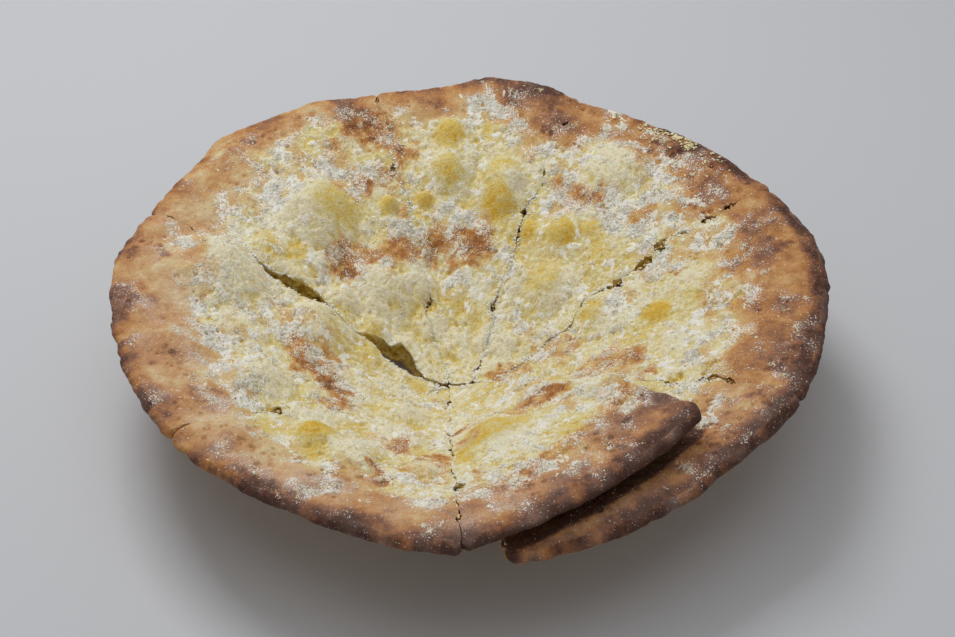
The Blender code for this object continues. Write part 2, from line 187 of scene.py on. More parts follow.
# Steep little pillows of cheese that meet in creases: x, y, radius, height
PUFFS = {
    "round": (
        (-110, 20, 21, 3.2), (-66, 6, 15, 3.6), (-86, -45, 14, 2.0), (-70, 66, 19, 3.6), (-84, 60, 10, 2.6),
        (-72, 40, 9, 3.2), (-56, 26, 8, 2.6), (-41, 36, 13, 3.4), (-22, 44, 9, 2.0), (-18, 30, 10, 3.0),
        (-26, 14, 8, 2.6), (-6, 20, 8, 2.4), (12, 24, 11, 2.6), (36, 42, 14, 3.0), (22, 50, 9, 2.2),
        (-10, 97, 12, 2.2), (14, 90, 13, 2.4), (70, 94, 16, 2.8), (96, 67, 11, 2.0), (66, 16, 14, 2.0),
        (96, -22, 14, 2.2), (-98, -10, 12, 2.0), (-112, 45, 11, 2.0), (-30, -62, 14, 2.6),
        (-47, -87, 12, 3.0), (-30, -36, 12, 2.6), (-20, -92, 10, 2.0), (-66, -62, 10, 2.2),
    ),
    "over": (
        (14, -82, 17, 3.0), (48, -50, 13, 2.2), (9, -52, 10, 2.0), (30, -66, 9, 1.6), (26, -104, 9, 1.6),
    ),
    "under": (),
}

# Smooth blister skins without grated cheese: x, y, radius, height
SKINS = {
    "round": (
        (-60, -80, 13, 2.6), (-62, 70, 12, 0.6), (-10, 117, 8, 1.2), (-10, 96, 8, 1.0), (13, 82, 9, 1.2),
        (-21, 84, 4.5, 1.8), (-38, 79, 5, 2.0), (27, 70, 5, 0.9), (42, 63, 7, 1.1), (55, 64, 5, 0.8),
        (82, 7, 7, 1.0), (36, 44, 8, 0.5),
    ),
    "over": ((9, -72, 12, 1.6), (64, -56, 7, 1.2)),
    "under": (),
}

# Deep yellow blister skins: x, y, radius, strength
YELLOW_SPOTS = {
    "round": (
        (-62, 70, 13, 0.55), (-77, 42, 6, 0.8), (-90, 41, 6, 0.3), (-58, 91, 5, 0.2), (-32, 35, 11, 0.3),
        (-44, 17, 6, 0.4), (-11, 116, 7, 0.65), (-10, 96, 7, 0.7), (13, 82, 8, 0.95), (14, 97, 8, 0.35),
        (0, 81, 6, 0.35), (-21, 84, 4, 0.55), (-38, 79, 4, 0.45), (-7, 41, 6, 0.3), (27, 70, 5, 0.55),
        (42, 63, 7, 0.65), (55, 64, 5, 0.5), (35, 45, 9, 0.7), (65, 91, 9, 0.35), (59, 47, 7, 0.35),
        (82, 7, 6.5, 1.0), (54, 20, 5, 0.45), (98, -22, 5, 0.25), (-66, 6, 10, 0.3), (-56, 18, 5, 0.4),
        (-60, -79, 6.5, 1.0), (-58, -82, 12, 0.35), (-38, -89, 7, 0.4), (-20, -6, 5, 0.35),
    ),
    "over": (
        (9, -72, 10, 0.95), (2, -84, 8, 0.5), (25, -60, 8, 0.4), (8, -39, 5, 0.35), (36, -80, 7, 0.3),
        (50, -78, 7, 0.35),
    ),
    "under": ((78, -73, 8, 0.7),),
}

# Pale creamy patches: x, y, radius, strength
PALE_SPOTS = {
    "round": (
        (-108, 14, 24, 0.7), (-92, -47, 18, 0.9), (-45, -92, 13, 0.8), (-20, -62, 14, 0.5),
        (-36, 30, 16, 0.6), (-14, 22, 12, 0.5), (8, 16, 12, 0.5), (66, 94, 16, 0.6), (88, 66, 12, 0.6),
    ),
    "over": ((20, -92, 14, 0.7), (36, -66, 12, 0.6), (45, -50, 12, 0.5)),
    "under": (),
}

# Browned patches, and on the pressed wedge also painted shadow along the raised wedge's edge: x, y, radius,
# strength
BROWN_AND_SHADOW_SPOTS = {
    "round": (
        (-52, 121, 12, 0.9), (-57, 130, 7, 0.5), (-40, 112, 9, 0.3), (-44, 92, 8, 0.2), (-56, 49, 10, 0.3),
        (-44, 54, 9, 0.3), (-101, 105, 8, 0.5), (-112, 94, 6, 0.35), (-81, 119, 8, 0.25),
        (-66, 108, 6, 0.25), (-116, 84, 6, 0.3), (-127, 65, 8, 0.3), (-33, 57, 8, 0.35), (-25, 61, 8, 0.4),
        (-15, 65, 9, 0.45), (-5, 67, 8, 0.35), (4, 66, 10, 0.5), (-38, 118, 6, 0.45), (-30, 76, 4, 0.35),
        (24, 138, 8, 0.4), (41, 128, 8, 0.5), (32, 108, 4, 0.4), (96, 97, 6, 0.5), (103, 95, 8, 0.6),
        (62, 128, 6, 0.4), (80, 100, 4, 0.35), (114, 71, 7, 0.35), (128, 44, 8, 0.45), (116, 20, 8, 0.4),
        (106, 57, 2, 0.8), (91, 24, 4, 0.35), (125, 2, 9, 0.15), (136, -9, 9, 0.35), (141, -31, 11, 0.8),
        (134, -57, 10, 0.65), (122, -42, 9, 0.4), (-80, -115, 10, 0.55), (-18, -140, 8, 0.35),
        (44, 88, 8, 0.4), (52, 80, 8, 0.35), (60, 76, 6, 0.3), (78, 65, 6, 0.3), (82, 72, 4, 0.35),
        (-33, 107, 8, 0.35), (-35, 94, 7, 0.35), (-51, 85, 8, 0.3), (-57, 46, 9, 0.75), (-53, -34, 8, 0.35),
        (-36, -100, 4, 0.5), (14, 0, 6, 0.5), (-75, 5, 5, 0.25), (132, 25, 7, 0.35), (41, 8, 7, 0.3),
        (24, 6, 6, 0.3), (54, -14, 9, 0.35), (63, -10, 7, 0.3), (69, -17, 6, 0.4), (76, -31, 6, 0.45),
        (64, -24, 8, 0.25), (129, -50, 8, 0.4), (-66, -19, 13, 0.7), (-56, -42, 8, 0.45),
        (-78, -10, 6, 0.35), (-64, -47, 5, 0.5), (-56, -30, 6, 0.5), (-121, -19, 9, 0.3),
        (-121, -40, 7, 0.3), (-106, -65, 8, 0.5), (-135, 22, 5, 0.75), (-146, -9, 11, 0.85),
        (-128, -68, 7, 0.4), (-140, -38, 6, 0.4), (-30, -72, 8, 0.5), (-14, -84, 8, 0.55),
        (-8, -96, 6, 0.3), (-33, -104, 5, 0.45), (-55, -112, 7, 0.5), (-64, -120, 6, 0.4),
        (-95, -97, 9, 0.35), (-84, -109, 8, 0.35), (-41, -132, 8, 0.35),
    ),
    "over": (
        (34, -44, 10, 0.75), (20, -50, 7, 0.4), (1, -70, 5, 0.35), (10, -52, 5, 0.35), (59, -101, 8, 0.5),
        (44, -110, 8, 0.4), (30, -100, 7, 0.45), (58, -87, 7, 0.5), (62, -70, 6, 0.45), (48, -92, 7, 0.45),
        (72, -74, 7, 0.5), (80, -78, 8, 0.5), (-1, -56, 5, 0.55), (22, -108, 6, 0.35), (15, -127, 9, 0.4),
        (4, -104, 5, 0.35), (70, -54, 8, 0.35), (54, -62, 8, 0.25),
    ),
    "under": (
        # The first five run along the raised wedge's edge: painted shadow.
        (36, -107, 7, 0.7), (52, -98, 7, 0.8), (69, -87, 7, 0.8), (84, -75, 6, 0.6), (26, -121, 6, 0.6),
        (119, -70, 8, 0.3), (108, -83, 8, 0.35), (90, -104, 8, 0.25), (126, -78, 6, 0.4),
        (112, -66, 8, 0.5),
    ),
}

# Lightly toasted patches that show between the flakes: x, y, radius, strength
TAN_SPOTS = {
    "round": (
        (46, 78, 8, 0.5), (57, 80, 8, 0.5), (42, 87, 7, 0.5), (60, 66, 6, 0.35), (83, 87, 9, 0.35),
        (78, 98, 8, 0.45), (93, 50, 7, 0.5), (77, 42, 8, 0.5), (84, 29, 7, 0.4), (98, 32, 8, 0.4),
        (105, 14, 9, 0.4), (114, 0, 8, 0.35), (118, 36, 7, 0.4), (48, 6, 7, 0.5), (70, -10, 8, 0.5),
        (42, -3, 7, 0.4), (-34, 100, 9, 0.5), (-28, 108, 7, 0.5), (-48, 84, 8, 0.45), (-40, 52, 10, 0.45),
        (-85, 12, 7, 0.35), (-96, -12, 9, 0.4), (-60, -32, 10, 0.5), (-61, -2, 6, 0.3), (-23, -95, 9, 0.5),
        (-13, -104, 8, 0.5), (-38, -66, 8, 0.4), (-104, -66, 9, 0.45), (-30, -128, 9, 0.5),
        (-80, 94, 12, 0.45), (-62, 106, 10, 0.4), (-94, 80, 10, 0.4), (-118, -22, 9, 0.7),
        (-65, 90, 9, 0.4), (-51, 92, 8, 0.4), (-42, -44, 9, 0.3),
    ),
    "over": (
        (0, -58, 8, 0.5), (-2, -76, 7, 0.5), (24, -44, 9, 0.4), (66, -62, 10, 0.5), (56, -74, 9, 0.45),
        (32, -84, 8, 0.35), (40, -92, 9, 0.5), (16, -118, 9, 0.5), (4, -100, 8, 0.4),
    ),
    "under": (),
}

# Where grated cheese lies thick: x, y, radius, and a strength if it is less than 1
GRATED_SPOTS = {
    "round": (
        (-91, 66, 9), (-79, 78, 9), (-66, 95, 8), (-54, 88, 9), (-127, 33, 9), (14, 134, 9), (4, 141, 6),
        (70, 117, 7), (84, 104, 8), (100, 82, 8, 0.4), (115, 73, 6, 0.45), (43, 94, 9), (40, 79, 6),
        (67, 69, 9), (82, 60, 8), (84, 74, 7), (96, 66, 8, 0.9), (-32, 72, 7), (-14, 75, 7), (4, 75, 6),
        (-60, 41, 8, 0.6), (-40, 48, 7), (-82, 3, 10), (-65, -6, 8), (-58, -26, 7), (-99, -38, 7),
        (-92, -57, 7), (-13, -17, 5), (2, -10, 5), (85, 36, 10), (103, 42, 7), (106, 3, 8), (67, 23, 7),
        (97, -28, 6), (92, -54, 5), (-19, -106, 6), (-60, -118, 6), (-107, -24, 6), (23, 25, 6),
        (50, 76, 7, 0.7), (90, 92, 7, 0.7), (80, 44, 6, 0.7), (34, 14, 6), (-7, 52, 6), (14, 53, 6),
    ),
    "over": (
        (26, -35, 8), (18, -112, 9, 0.6), (8, -122, 6, 0.6), (51, -42, 6), (40, -60, 8), (35, -104, 7),
    ),
    "under": ((95, -70, 8),),
}

# Small tears that show the olive crumb: x, y, half length, half width, heading, depth
TEARS = {
    "round": (
        (-17, 37, 3, 1.8, 95, 2.2), (86, -40, 3, 1.8, 20, 2.6), (101, -41, 4, 2.0, 50, 2.6),
        (-79, -62, 5, 2.0, 15, 3.0), (-72, 36, 4, 1.4, -30, 2.0), (-6, -52, 3, 1.8, 80, 2.5),
    ),
    "over": (),
    "under": (),
}

# Where the crumb is full of small holes: x, y, radius
POROUS_SPOTS = {
    "round": (
        (97, 16, 13), (108, 2, 8), (-16, 22, 17), (2, 22, 14), (16, 14, 10), (-109, 77, 7), (-100, 62, 7),
        (-45, 12, 8), (-35, -18, 8), (20, 104, 5),
    ),
    "over": (),
    "under": (),
}

# Width of the bare crust in directions round the middle
CRUST_WIDTHS = (
    (-180, 38), (-165, 40), (-150, 33), (-130, 30), (-118, 26), (-95, 24), (-80, 30), (-45, 46), (-27, 36),
    (-10, 38), (10, 40), (30, 32), (45, 23), (60, 20), (72, 32), (85, 27), (100, 20), (110, 14), (122, 14),
    (135, 26), (150, 29), (180, 38),
)
OVER_CRUST_WIDTH = (28, 27)  # at its left side and at its free side

# By direction round the middle: how much darker the crust is, and how much more its outermost edge, which is
# partly real browning and partly painted shade on the front and right edges
SIDE_DARKENING = (
    (-180, 0.02), (-140, 0.04), (-60, 0.18), (-30, 0.24), (0, 0.24), (45, 0.24), (80, 0.22), (120, 0.12),
    (150, 0.08), (180, 0.02),
)
EDGE_TOAST_AND_SHADE = (
    (-180, 0.2), (-150, 0.25), (-120, 0.4), (-75, 0.35), (-50, 0.4), (-20, 0.5), (0, 0.45), (40, 0.35),
    (80, 0.15), (150, 0.15), (180, 0.2),
)
EDGE_TOAST_AND_SHADE_WIDTH = 8
# How much browner each group's crust is; on the raised wedge this is painted shade.
GROUP_TOAST_AND_SHADE = {"round": 0.0, "over": 0.1, "under": -0.05}

# How dusty the crust is by direction round the middle, and how much more so in each group
DUSTY_SIDE = (
    (-180, 0.4), (-90, 0.4), (-60, 0.22), (-20, 0.06), (0, 0.03), (100, 0.05), (140, 0.12), (180, 0.4),
)
GROUP_DUST = {"round": 0, "over": 0, "under": 0.12}
PIT_CROWDS = {"round": 0.08, "over": 0.22, "under": 0.22}  # how crowded the pinholes of the crust are

# ---------------------------------------------------------------- fineness
FINE = 0.65  # mesh spacing of the tops and sides
COARSE = 4 * FINE  # spacing of the triangles that are split twice into the tops, and once into the undersides
WALL_ROWS = 10
CORNER_ROUNDING = 5
CORNER_ROUNDS = 12
SPOT_REACH = 1.35  # where spots end, in radii
PAINTED_SHADOW_REACH = 7  # how far the painted shadow under the raised wedge reaches in front of it
PIT_TRIES = 1400
PIT_SIDE = 30  # how far from the rim the crust's pinholes go
PIT_REACH = 1.6  # where pinholes end, in radii
PIT_DEPTH = 1.1
CURD_TRIES = 700
CURD_RADII = (1.6, 4.5)
CURD_RISES = (0.12, 0.42)  # as shares of the radii
SEED = 8

# ---------------------------------------------------------------- scattered bits
GRATED_CLUSTERS = 1050
CLUSTER_BITS = (4, 15)
CLUSTER_SPREAD = (0.7, 2.2)
GRATED_LOOSE = 1200
SHRED_LENGTH = (1.0, 3.3)
SHRED_WIDTH = (0.25, 0.5)
SHRED_CURL = 0.2
# Pieces of small lumps: how many, their size, and their height as a share of it
LUMPS = {
    "cheese_lumps": (3800, (0.4, 1.3), 0.32),
    "seam_crumbs": (2600, (0.5, 1.6), 0.35),
    "cheese_dust": (1000, (0.25, 0.6), 0.5),
}
GAP_CRUMBS_KEPT = 0.5
GAP_CRUMB_DEPTH = (0.9, 2.2)
UNDER_SHOWN = 55  # how far from its rim the pressed wedge carries loose bits
ABOVE_ALL = 200

# ---------------------------------------------------------------- stage, in metres
CAMERA_PLACE = (0.0035, -0.6205, 0.5937)
CAMERA_TILT = 48.3
CAMERA_LENS = 71.6
CAMERA_SENSOR = 36
# Name, place, size, power
LIGHTS = (("key", (-0.32, 0.5, 1.06), 0.5, 6.1), ("top", (-0.05, -0.05, 1.4), 1.3, 4.8))
LIGHTS_AIM = (0, 0, 0.04)
WORLD_LIGHT = 0.245
FLOOR_HALF = 3.0
FLOOR_GAP = 0.0005
FLOOR_COLOUR = (206, 208, 212)


# ---------------------------------------------------------------- formulas
def ease(share):
    """0 up to a share of 0, 1 from a share of 1, and a soft slope between."""
    share = np.clip(share, 0, 1)
    return share * share * (3 - 2 * share)


def hump(distance):
    """A round hill: 1 in the middle, 0 from distance 1 outwards."""
    return (1 - np.clip(distance, 0, 1) ** 2) ** 2


def mound(distance):
    """A round hill with a foot: 1 in the middle, 0 from distance 1 outwards."""
    return 1 - np.clip(distance, 0, 1) ** 2


def turn_between(angle, other):
    return (angle - other + 180) % 360 - 180


def direction(points):
    points = np.asarray(points, float)
    return np.degrees(np.arctan2(points[..., 1], points[..., 0]))


def polar(angle, radius):
    turn = np.radians(angle)
    return np.stack((radius * np.cos(turn), radius * np.sin(turn)), axis=-1)


def cross(first, second):
    return first[..., 0] * second[..., 1] - first[..., 1] * second[..., 0]


def lengths(vectors):
    return np.linalg.norm(vectors, axis=1)


def distance_to(points, x, y):
    return np.hypot(points[:, 0] - x, points[:, 1] - y)


def waves(points, length, layer=0):
    """Smooth noise, mostly -0.5 to 0.5, with features of a length. Each layer is a different pattern."""
    shift = Vector((7.3, 3.1, 5.7)) * layer
    if points.shape[1] == 2:
        return np.array([noise.noise(Vector((x, y, 0)) / length + shift) for x, y in points])
    return np.array([noise.noise(Vector(p) / length + shift) for p in points])


def random_shifts(points, length, layer):
    """Smooth shifts in x and y, from a layer of noise and the next one."""
    return np.stack((waves(points, length, layer), waves(points, length, layer + 1)), axis=1)


def rim_radius(angle):
    radius = np.full(np.shape(angle), float(RIM_RADIUS))
    for middle, half_width, out in RIM_BULGES:
        radius = radius + out * np.exp(-((turn_between(angle, middle) / half_width) ** 2))
    return radius


def under_radius(angle):
    low, high = UNDER_INSET_TURN
    return rim_radius(angle) - UNDER_INSET * (1 - ease((angle - low) / (high - low)))


def sag(radius):
    """Height of the smooth top at a distance from the middle."""
    share = np.maximum(0, (radius - SAG_FLAT_RADIUS) / (RIM_RADIUS - SAG_FLAT_RADIUS))
    full = math.sqrt(1 + SAG_BEND**2) - SAG_BEND
    eased = np.minimum((np.sqrt(share**2 + SAG_BEND**2) - SAG_BEND) / full, 1)
    return RIM_HEIGHT - SAG_DEPTH * (1 - eased) ** SAG_POWER


def sag_slope(radius):
    return (sag(radius + 1) - sag(radius - 1)) / 2


def fine_steps(length):
    """Number of fine steps along a stretch of the outline: a multiple of 4, so thinning it keeps its ends."""
    return 4 * max(1, round(length / COARSE))


def cut_end(cut):
    if cut == "over":
        return OVER_END
    angle = CUTS[cut][0]
    return polar(angle, (under_radius(angle) if cut == "under" else rim_radius(angle)) - EDGE_INSET)


def cut_line(cut, begin, side):
    """Points along one side of a cut, from its inner end to the rim, the way from each to the foot of the
    wall below it, and how far it gapes. Side is 1 anticlockwise and -1 clockwise."""
    _, start, bow, swing, _ = CUTS[cut]
    start = np.array(start)
    length = np.linalg.norm(cut_end(cut) - start)
    along = (cut_end(cut) - start) / length
    across = np.array((-along[1], along[0]))
    distance = np.linspace(begin, length, fine_steps(length - begin) + 1)
    fade = ease(distance / CUT_WAVES_FADE[0]) * ease((length - distance) / CUT_WAVES_FADE[1])
    phase = len(cut) * 1.7
    swings = sum(reach * np.sin(2 * np.pi * distance / wavelength + phase) for reach, wavelength in CUT_WAVES)
    offset = swing * fade * swings + bow * np.sin(np.pi * distance / length)
    middle = start + np.outer(distance, along) + np.outer(offset, across)
    apart = np.full(len(middle), HALF_GAP)
    for place, half_length, width in OPENINGS.get(cut, ()):
        uneven = np.clip(0.55 + 3.2 * waves(middle, 5.5, 47) + 1.2 * waves(middle, 2, 48), 0.02, 1.7)
        apart += uneven * width / 2 * hump(np.abs(distance - place) / half_length)
    gape = np.zeros(len(middle))
    lean = np.zeros(len(middle))
    if cut == "left":
        share = GAPE_SHARE if side < 0 else 1 - GAPE_SHARE
        for place, half_length, width, out_below in GAPES:
            opened = share * width * hump(np.abs(distance - place) / half_length)
            gape += opened
            lean += opened * (out_below if side < 0 else 0)
    ragged = np.abs(waves(middle, 3.1, 40 + side)) + np.abs(waves(middle, 1.5, 44 + side))
    torn = (RAGGED * apart + 0.25 * gape) * ragged * ease(distance / 8)
    wiggle = sum(reach * waves(middle, size, 43) for reach, size in WIGGLES) * ease(distance / 6)
    line = middle + np.outer(side * (apart + gape + torn) + wiggle, across)
    back = np.where(gape > 0.3, 0, apart + torn) + lean
    return line, np.outer(-side * np.clip(back, -4, 3), across), gape


class Wedge:
    """One wedge: its outline from above, and the smooth heights of its top and underside."""

    def __init__(self, name, first_cut, last_cut):
        self.name = name
        self.first_cut = first_cut
        self.last_cut = last_cut
        self.group = {"slice_over": "over", "slice_under": "under"}.get(name, "round")
        self.first_angle = direction(cut_end(first_cut) - CENTRE)
        self.spread = (direction(cut_end(last_cut) - CENTRE) - self.first_angle) % 360

    def share_across(self, points):
        """0 at the first cut, 1 at the last cut."""
        return turn_between(direction(points - CENTRE), self.first_angle) / self.spread

    def lift(self, points):
        """How far the wedge is raised above the smooth round, or pressed down."""
        share = np.clip(self.share_across(points), 0, 1)
        if self.group == "over":
            low, high = OVER_LIFT
            from_tip = lengths(points - CENTRE)
            droop = share * OVER_DROOP * (1 - ease(self.from_rim(points) / OVER_DROOP_LENGTH))
            return low + (high - low) * share**OVER_LIFT_POWER * ease(from_tip / OVER_RISE) - droop
        if self.group == "under":
            low, high = UNDER_LIFT
            return low + (high - low) * share
        return np.zeros(len(points))

    def from_rim(self, points):
        """Distance from the outer end of the top."""
        if self.group == "over":
            share = np.clip(self.share_across(points), 0, 1)
            return self.over_length(share) - lengths(points - CENTRE)
        return self.edge_radius(direction(points)) - lengths(points)

    def edge_radius(self, angle):
        return (under_radius(angle) if self.group == "under" else rim_radius(angle)) - EDGE_INSET

    def over_length(self, share):
        """Length of the raised wedge from the crossing to its crust: a crowned chord between its corners."""
        first = cut_end(self.first_cut) - CENTRE
        chord = cut_end(self.last_cut) - CENTRE - first
        ray = polar(self.first_angle + self.spread * share, 1.0)
        return cross(first, chord) / cross(ray, chord) + OVER_CROWN * np.sin(np.pi * share)

    def rim_line(self, first, last):
        """Points along the crust, between the ends of the two cuts."""
        count = fine_steps(1.05 * np.linalg.norm(last - first))
        share = np.linspace(0, 1, count + 1)[1:-1]
        if self.group == "over":
            ends = self.share_across(np.array((first, last)))
            across = ends[0] + (ends[1] - ends[0]) * share
            return CENTRE + polar(self.first_angle + self.spread * across, self.over_length(across))
        turn = (direction(last) - direction(first)) % 360
        angle = turn_between(direction(first) + turn * share, 0)
        line = polar(angle, self.edge_radius(angle))
        wobble = 0.9 * waves(line, 13, 31) + 0.5 * waves(line, 5, 32)
        return line + polar(angle, wobble * ease(share * 8) * ease((1 - share) * 8))

    def ring(self):
        """The fine outline, anticlockwise: its points and outward directions, how much each point is crust
        edge (1) or cut side (0), how far the top rounds down there (shoulder) and stands up behind that
        (lip), the way to the foot of the wall, and how far it gapes."""
        starts = UNDER_START if self.group == "under" else (TIP_GAP, TIP_GAP)
        first, first_foot, first_gape = cut_line(self.first_cut, starts[0], 1)
        last, last_foot, last_gape = (values[::-1] for values in cut_line(self.last_cut, starts[1], -1))
        rim = self.rim_line(first[-1], last[0])
        tip_steps = fine_steps(np.linalg.norm(first[0] - last[-1]))
        tip = last[-1] + np.outer(np.arange(1, tip_steps) / tip_steps, first[0] - last[-1])
        points = np.concatenate((first, rim, last, tip))
        place = np.arange(len(points))
        rim_start = len(first) - 1
        rim_end = rim_start + len(rim) + 1
        into_rim = np.minimum(place - rim_start, rim_end - place) * FINE
        corners = np.array((0, rim_start, rim_end, rim_end + len(last) - 1))
        apart = np.abs(place[:, None] - corners)
        from_corner = np.minimum(apart, len(points) - apart).min(axis=1) * FINE
        soft = ease(1.5 - from_corner / CORNER_ROUNDING)[:, None]
        for _ in range(CORNER_ROUNDS):
            points = points + soft * (np.roll(points, 1, 0) + np.roll(points, -1, 0) - 2 * points) / 4
        along = np.roll(points, -1, 0) - np.roll(points, 1, 0)
        outwards = np.stack((along[:, 1], -along[:, 0]), axis=1)
        outwards /= lengths(outwards)[:, None]
        at_first = place < len(points) / 2
        shoulder = np.where(at_first, CUTS[self.first_cut][4], CUTS[self.last_cut][4])
        lip = np.where(at_first, *LIPS.get(self.name, (0.0, 0.0)))
        rim_share = ease(0.5 + into_rim / 6)
        foot = np.concatenate((first_foot, np.zeros(rim.shape), last_foot, np.zeros(tip.shape)))
        gape = np.concatenate((first_gape, np.zeros(len(rim)), last_gape, np.zeros(len(tip))))
        return SimpleNamespace(
            points=points,
            outwards=outwards,
            rim_share=rim_share,
            shoulder=shoulder + GAPE_ROUNDING * gape,
            lip=lip,
            foot=foot * (1 - rim_share)[:, None],
            gape=gape,
        )

    def smooth_top(self, points):
        """The top with its main blisters, as in the solids."""
        rim_distance = self.from_rim(points)
        height = sag(lengths(points)) + self.lift(points)
        for x, y, radius, rise in BLISTERS[self.group]:
            height += DOME_GROWTH * rise * hump(distance_to(points, x, y) / radius)
        height += RIPPLE[0] * waves(points, RIPPLE[1])
        crust = 1 - ease(rim_distance / CRUST_RIPPLE_WIDTH)
        height += crust * CRUST_RIPPLE[0] * waves(points, CRUST_RIPPLE[1], 1)
        return height - EDGE_DROP * np.clip(1 - rim_distance / EDGE_BAND, 0, 1) ** 2

    def underside(self, points):
        radius = lengths(points)
        depth = THICKNESS * np.sqrt(1 + sag_slope(radius) ** 2)
        edge = np.clip(1 - self.from_rim(points) / EDGE_BAND, 0, 1)
        height = sag(radius) + self.lift(points) - depth + EDGE_DROP * edge**2
        return np.maximum(0, height + 0.5 * waves(points, 6, 51))


# ---------------------------------------------------------------- meshes of a wedge
def inside(points, outline, margin):
    """Which points lie inside the outline and further than margin from it."""
    crossings = np.zeros(len(points), dtype=int)
    nearest = np.full(len(points), np.inf)
    for a, b in zip(outline, np.roll(outline, -1, axis=0)):
        spans = (a[1] > points[:, 1]) != (b[1] > points[:, 1])
        rise = b[1] - a[1] if b[1] != a[1] else 1.0
        crossings += spans & (points[:, 0] < a[0] + (points[:, 1] - a[1]) / rise * (b[0] - a[0]))
        edge = b - a
        share = np.clip(((points - a) @ edge) / (edge @ edge), 0, 1)
        nearest = np.minimum(nearest, lengths(points - a - share[:, None] * edge))
    return points[(crossings % 2 == 1) & (nearest > margin)]


def triangle_grid(outline):
    """Points of a grid of equal triangles inside an outline."""
    low, high = outline.min(axis=0), outline.max(axis=0)
    row_height = COARSE * math.sqrt(3) / 2
    rows, columns = ((high - low) / (row_height, COARSE))[::-1].astype(int) + 2
    column, row = np.meshgrid(np.arange(columns + 2), np.arange(rows + 2))
    x = low[0] + (column + 0.5 * (row % 2)) * COARSE
    y = low[1] + row * row_height
    return inside(np.stack((x.ravel(), y.ravel()), axis=1), outline, COARSE * 0.55)


def split(points, faces, place, ring_size):
    """Splits each triangle into four. place is each point's number on the outline, or -1 inside it."""
    sides = np.sort(faces[:, [0, 1, 1, 2, 2, 0]].reshape(-1, 2), axis=1)
    pairs, back, uses = np.unique(sides, axis=0, return_inverse=True, return_counts=True)
    back = back.reshape(-1, 3) + len(points)
    a, b = place[pairs].T
    between = a + b + np.where(np.abs(a - b) > 1, ring_size, 0)
    places = np.concatenate((np.where(place < 0, -1, 2 * place), np.where(uses == 1, between, -1)))
    corner_a, corner_b, corner_c = faces.T
    ab, bc, ca = back.T
    parts = ((corner_a, ab, ca), (ab, corner_b, bc), (ca, bc, corner_c), (ab, bc, ca))
    faces = np.concatenate([np.stack(part, axis=1) for part in parts])
    return np.concatenate((points, points[pairs].mean(axis=1))), faces, places


def sheet(ring, times):
    """Fine triangles inside the ring: points, faces, and the point at each place of the ring."""
    outline = ring[:: 2**times]
    grid = triangle_grid(outline)
    flat = [Vector(p) for p in np.concatenate((outline, grid))]
    size = len(outline)
    sides = [(i, (i + 1) % size) for i in range(size)]
    _, _, faces, original, _, _ = delaunay_2d_cdt(flat, sides, [list(range(size))], 1, 1e-5)
    faces = np.array([[original[corner][0] for corner in face] for face in faces])
    points = np.concatenate((outline, grid))
    place = np.concatenate((np.arange(size), np.full(len(grid), -1)))
    for _ in range(times):
        points, faces, place = split(points, faces, place, size)
        size *= 2
    on_ring = np.flatnonzero(place >= 0)
    at_ring = on_ring[np.argsort(place[on_ring])]
    points[at_ring] = ring
    return points, faces, at_ring


def spots(points, places, reach=1.0, soft=1.0):
    """How much each point is covered by soft-edged spots, from 0 to 1."""
    bare = np.ones(len(points))
    for x, y, radius, *strength in places:
        distance = distance_to(points, x, y) / (radius * reach)
        bare *= 1 - (strength[0] if strength else 1) * ease((SPOT_REACH - distance) / soft)
    return 1 - bare


def hills(points, places, profile):
    """Height of the highest hill at each point."""
    found = np.zeros(len(points))
    for x, y, radius, rise in places:
        found = np.maximum(found, rise * profile(distance_to(points, x, y) / radius))
    return found


def tears(points, places):
    """How deep the tears are at each point, and how much they bare the crumb."""
    depth = np.zeros(len(points))
    bent = points + 3.5 * random_shifts(points, 3.5, 71)
    for x, y, half_length, half_width, heading, deep in places:
        offset = bent - (x, y)
        turn = math.radians(heading)
        along = offset @ (math.cos(turn), math.sin(turn)) / half_length
        across = offset @ (-math.sin(turn), math.cos(turn)) / half_width
        depth = np.maximum(depth, deep * ease(1.5 - np.hypot(along, across)))
    return depth, 0.85 * ease(depth / 2.2)


def random_inside(draw, outline, count, margin):
    """Random points in the box of an outline, of which only those inside it are kept."""
    low, high = outline.min(axis=0), outline.max(axis=0)
    return inside(low + draw.random((count, 2)) * (high - low), outline, margin)


def search_tree(places):
    tree = KDTree(max(1, len(places)))
    for i, (x, y) in enumerate(places):
        tree.insert((x, y, 0), i)
    tree.balance()
    return tree


def pit_tree(draw, wedge, outline):
    """Pinholes of the crust and of the puffed cheese, as a search tree with their radii."""
    places = random_inside(draw, outline, PIT_TRIES, 2.5)
    crowd = 0.03 + PIT_CROWDS[wedge.group] * (wedge.from_rim(places) < PIT_SIDE) + 0.8 * waves(places, 17, 61)
    crowd += 0.35 * spots(places, POROUS_SPOTS[wedge.group])
    places = places[draw.random(len(places)) < crowd]
    return search_tree(places), 0.35 + draw.random(len(places) + 1) ** 2


def pits(points, tree, radii):
    """How deep each point lies in the nearest pinhole, from 0 to 1."""
    depth = np.zeros(len(points))
    for i, (x, y) in enumerate(points):
        _, nearest, distance = tree.find((x, y, 0))
        if nearest is not None and distance < PIT_REACH * radii[nearest]:
            depth[i] = 1 - distance / (PIT_REACH * radii[nearest])
    return ease(depth * 2.2)


def nearest_cut(points, ring):
    """Distance of each point to the cut sides of the outline, and which outline point is the nearest."""
    cut_places = np.flatnonzero(ring.rim_share < 0.5)
    tree = search_tree(ring.points[cut_places])
    found = [tree.find((x, y, 0)) for x, y in points]
    return np.array([f[2] for f in found]), cut_places[[f[1] for f in found]]


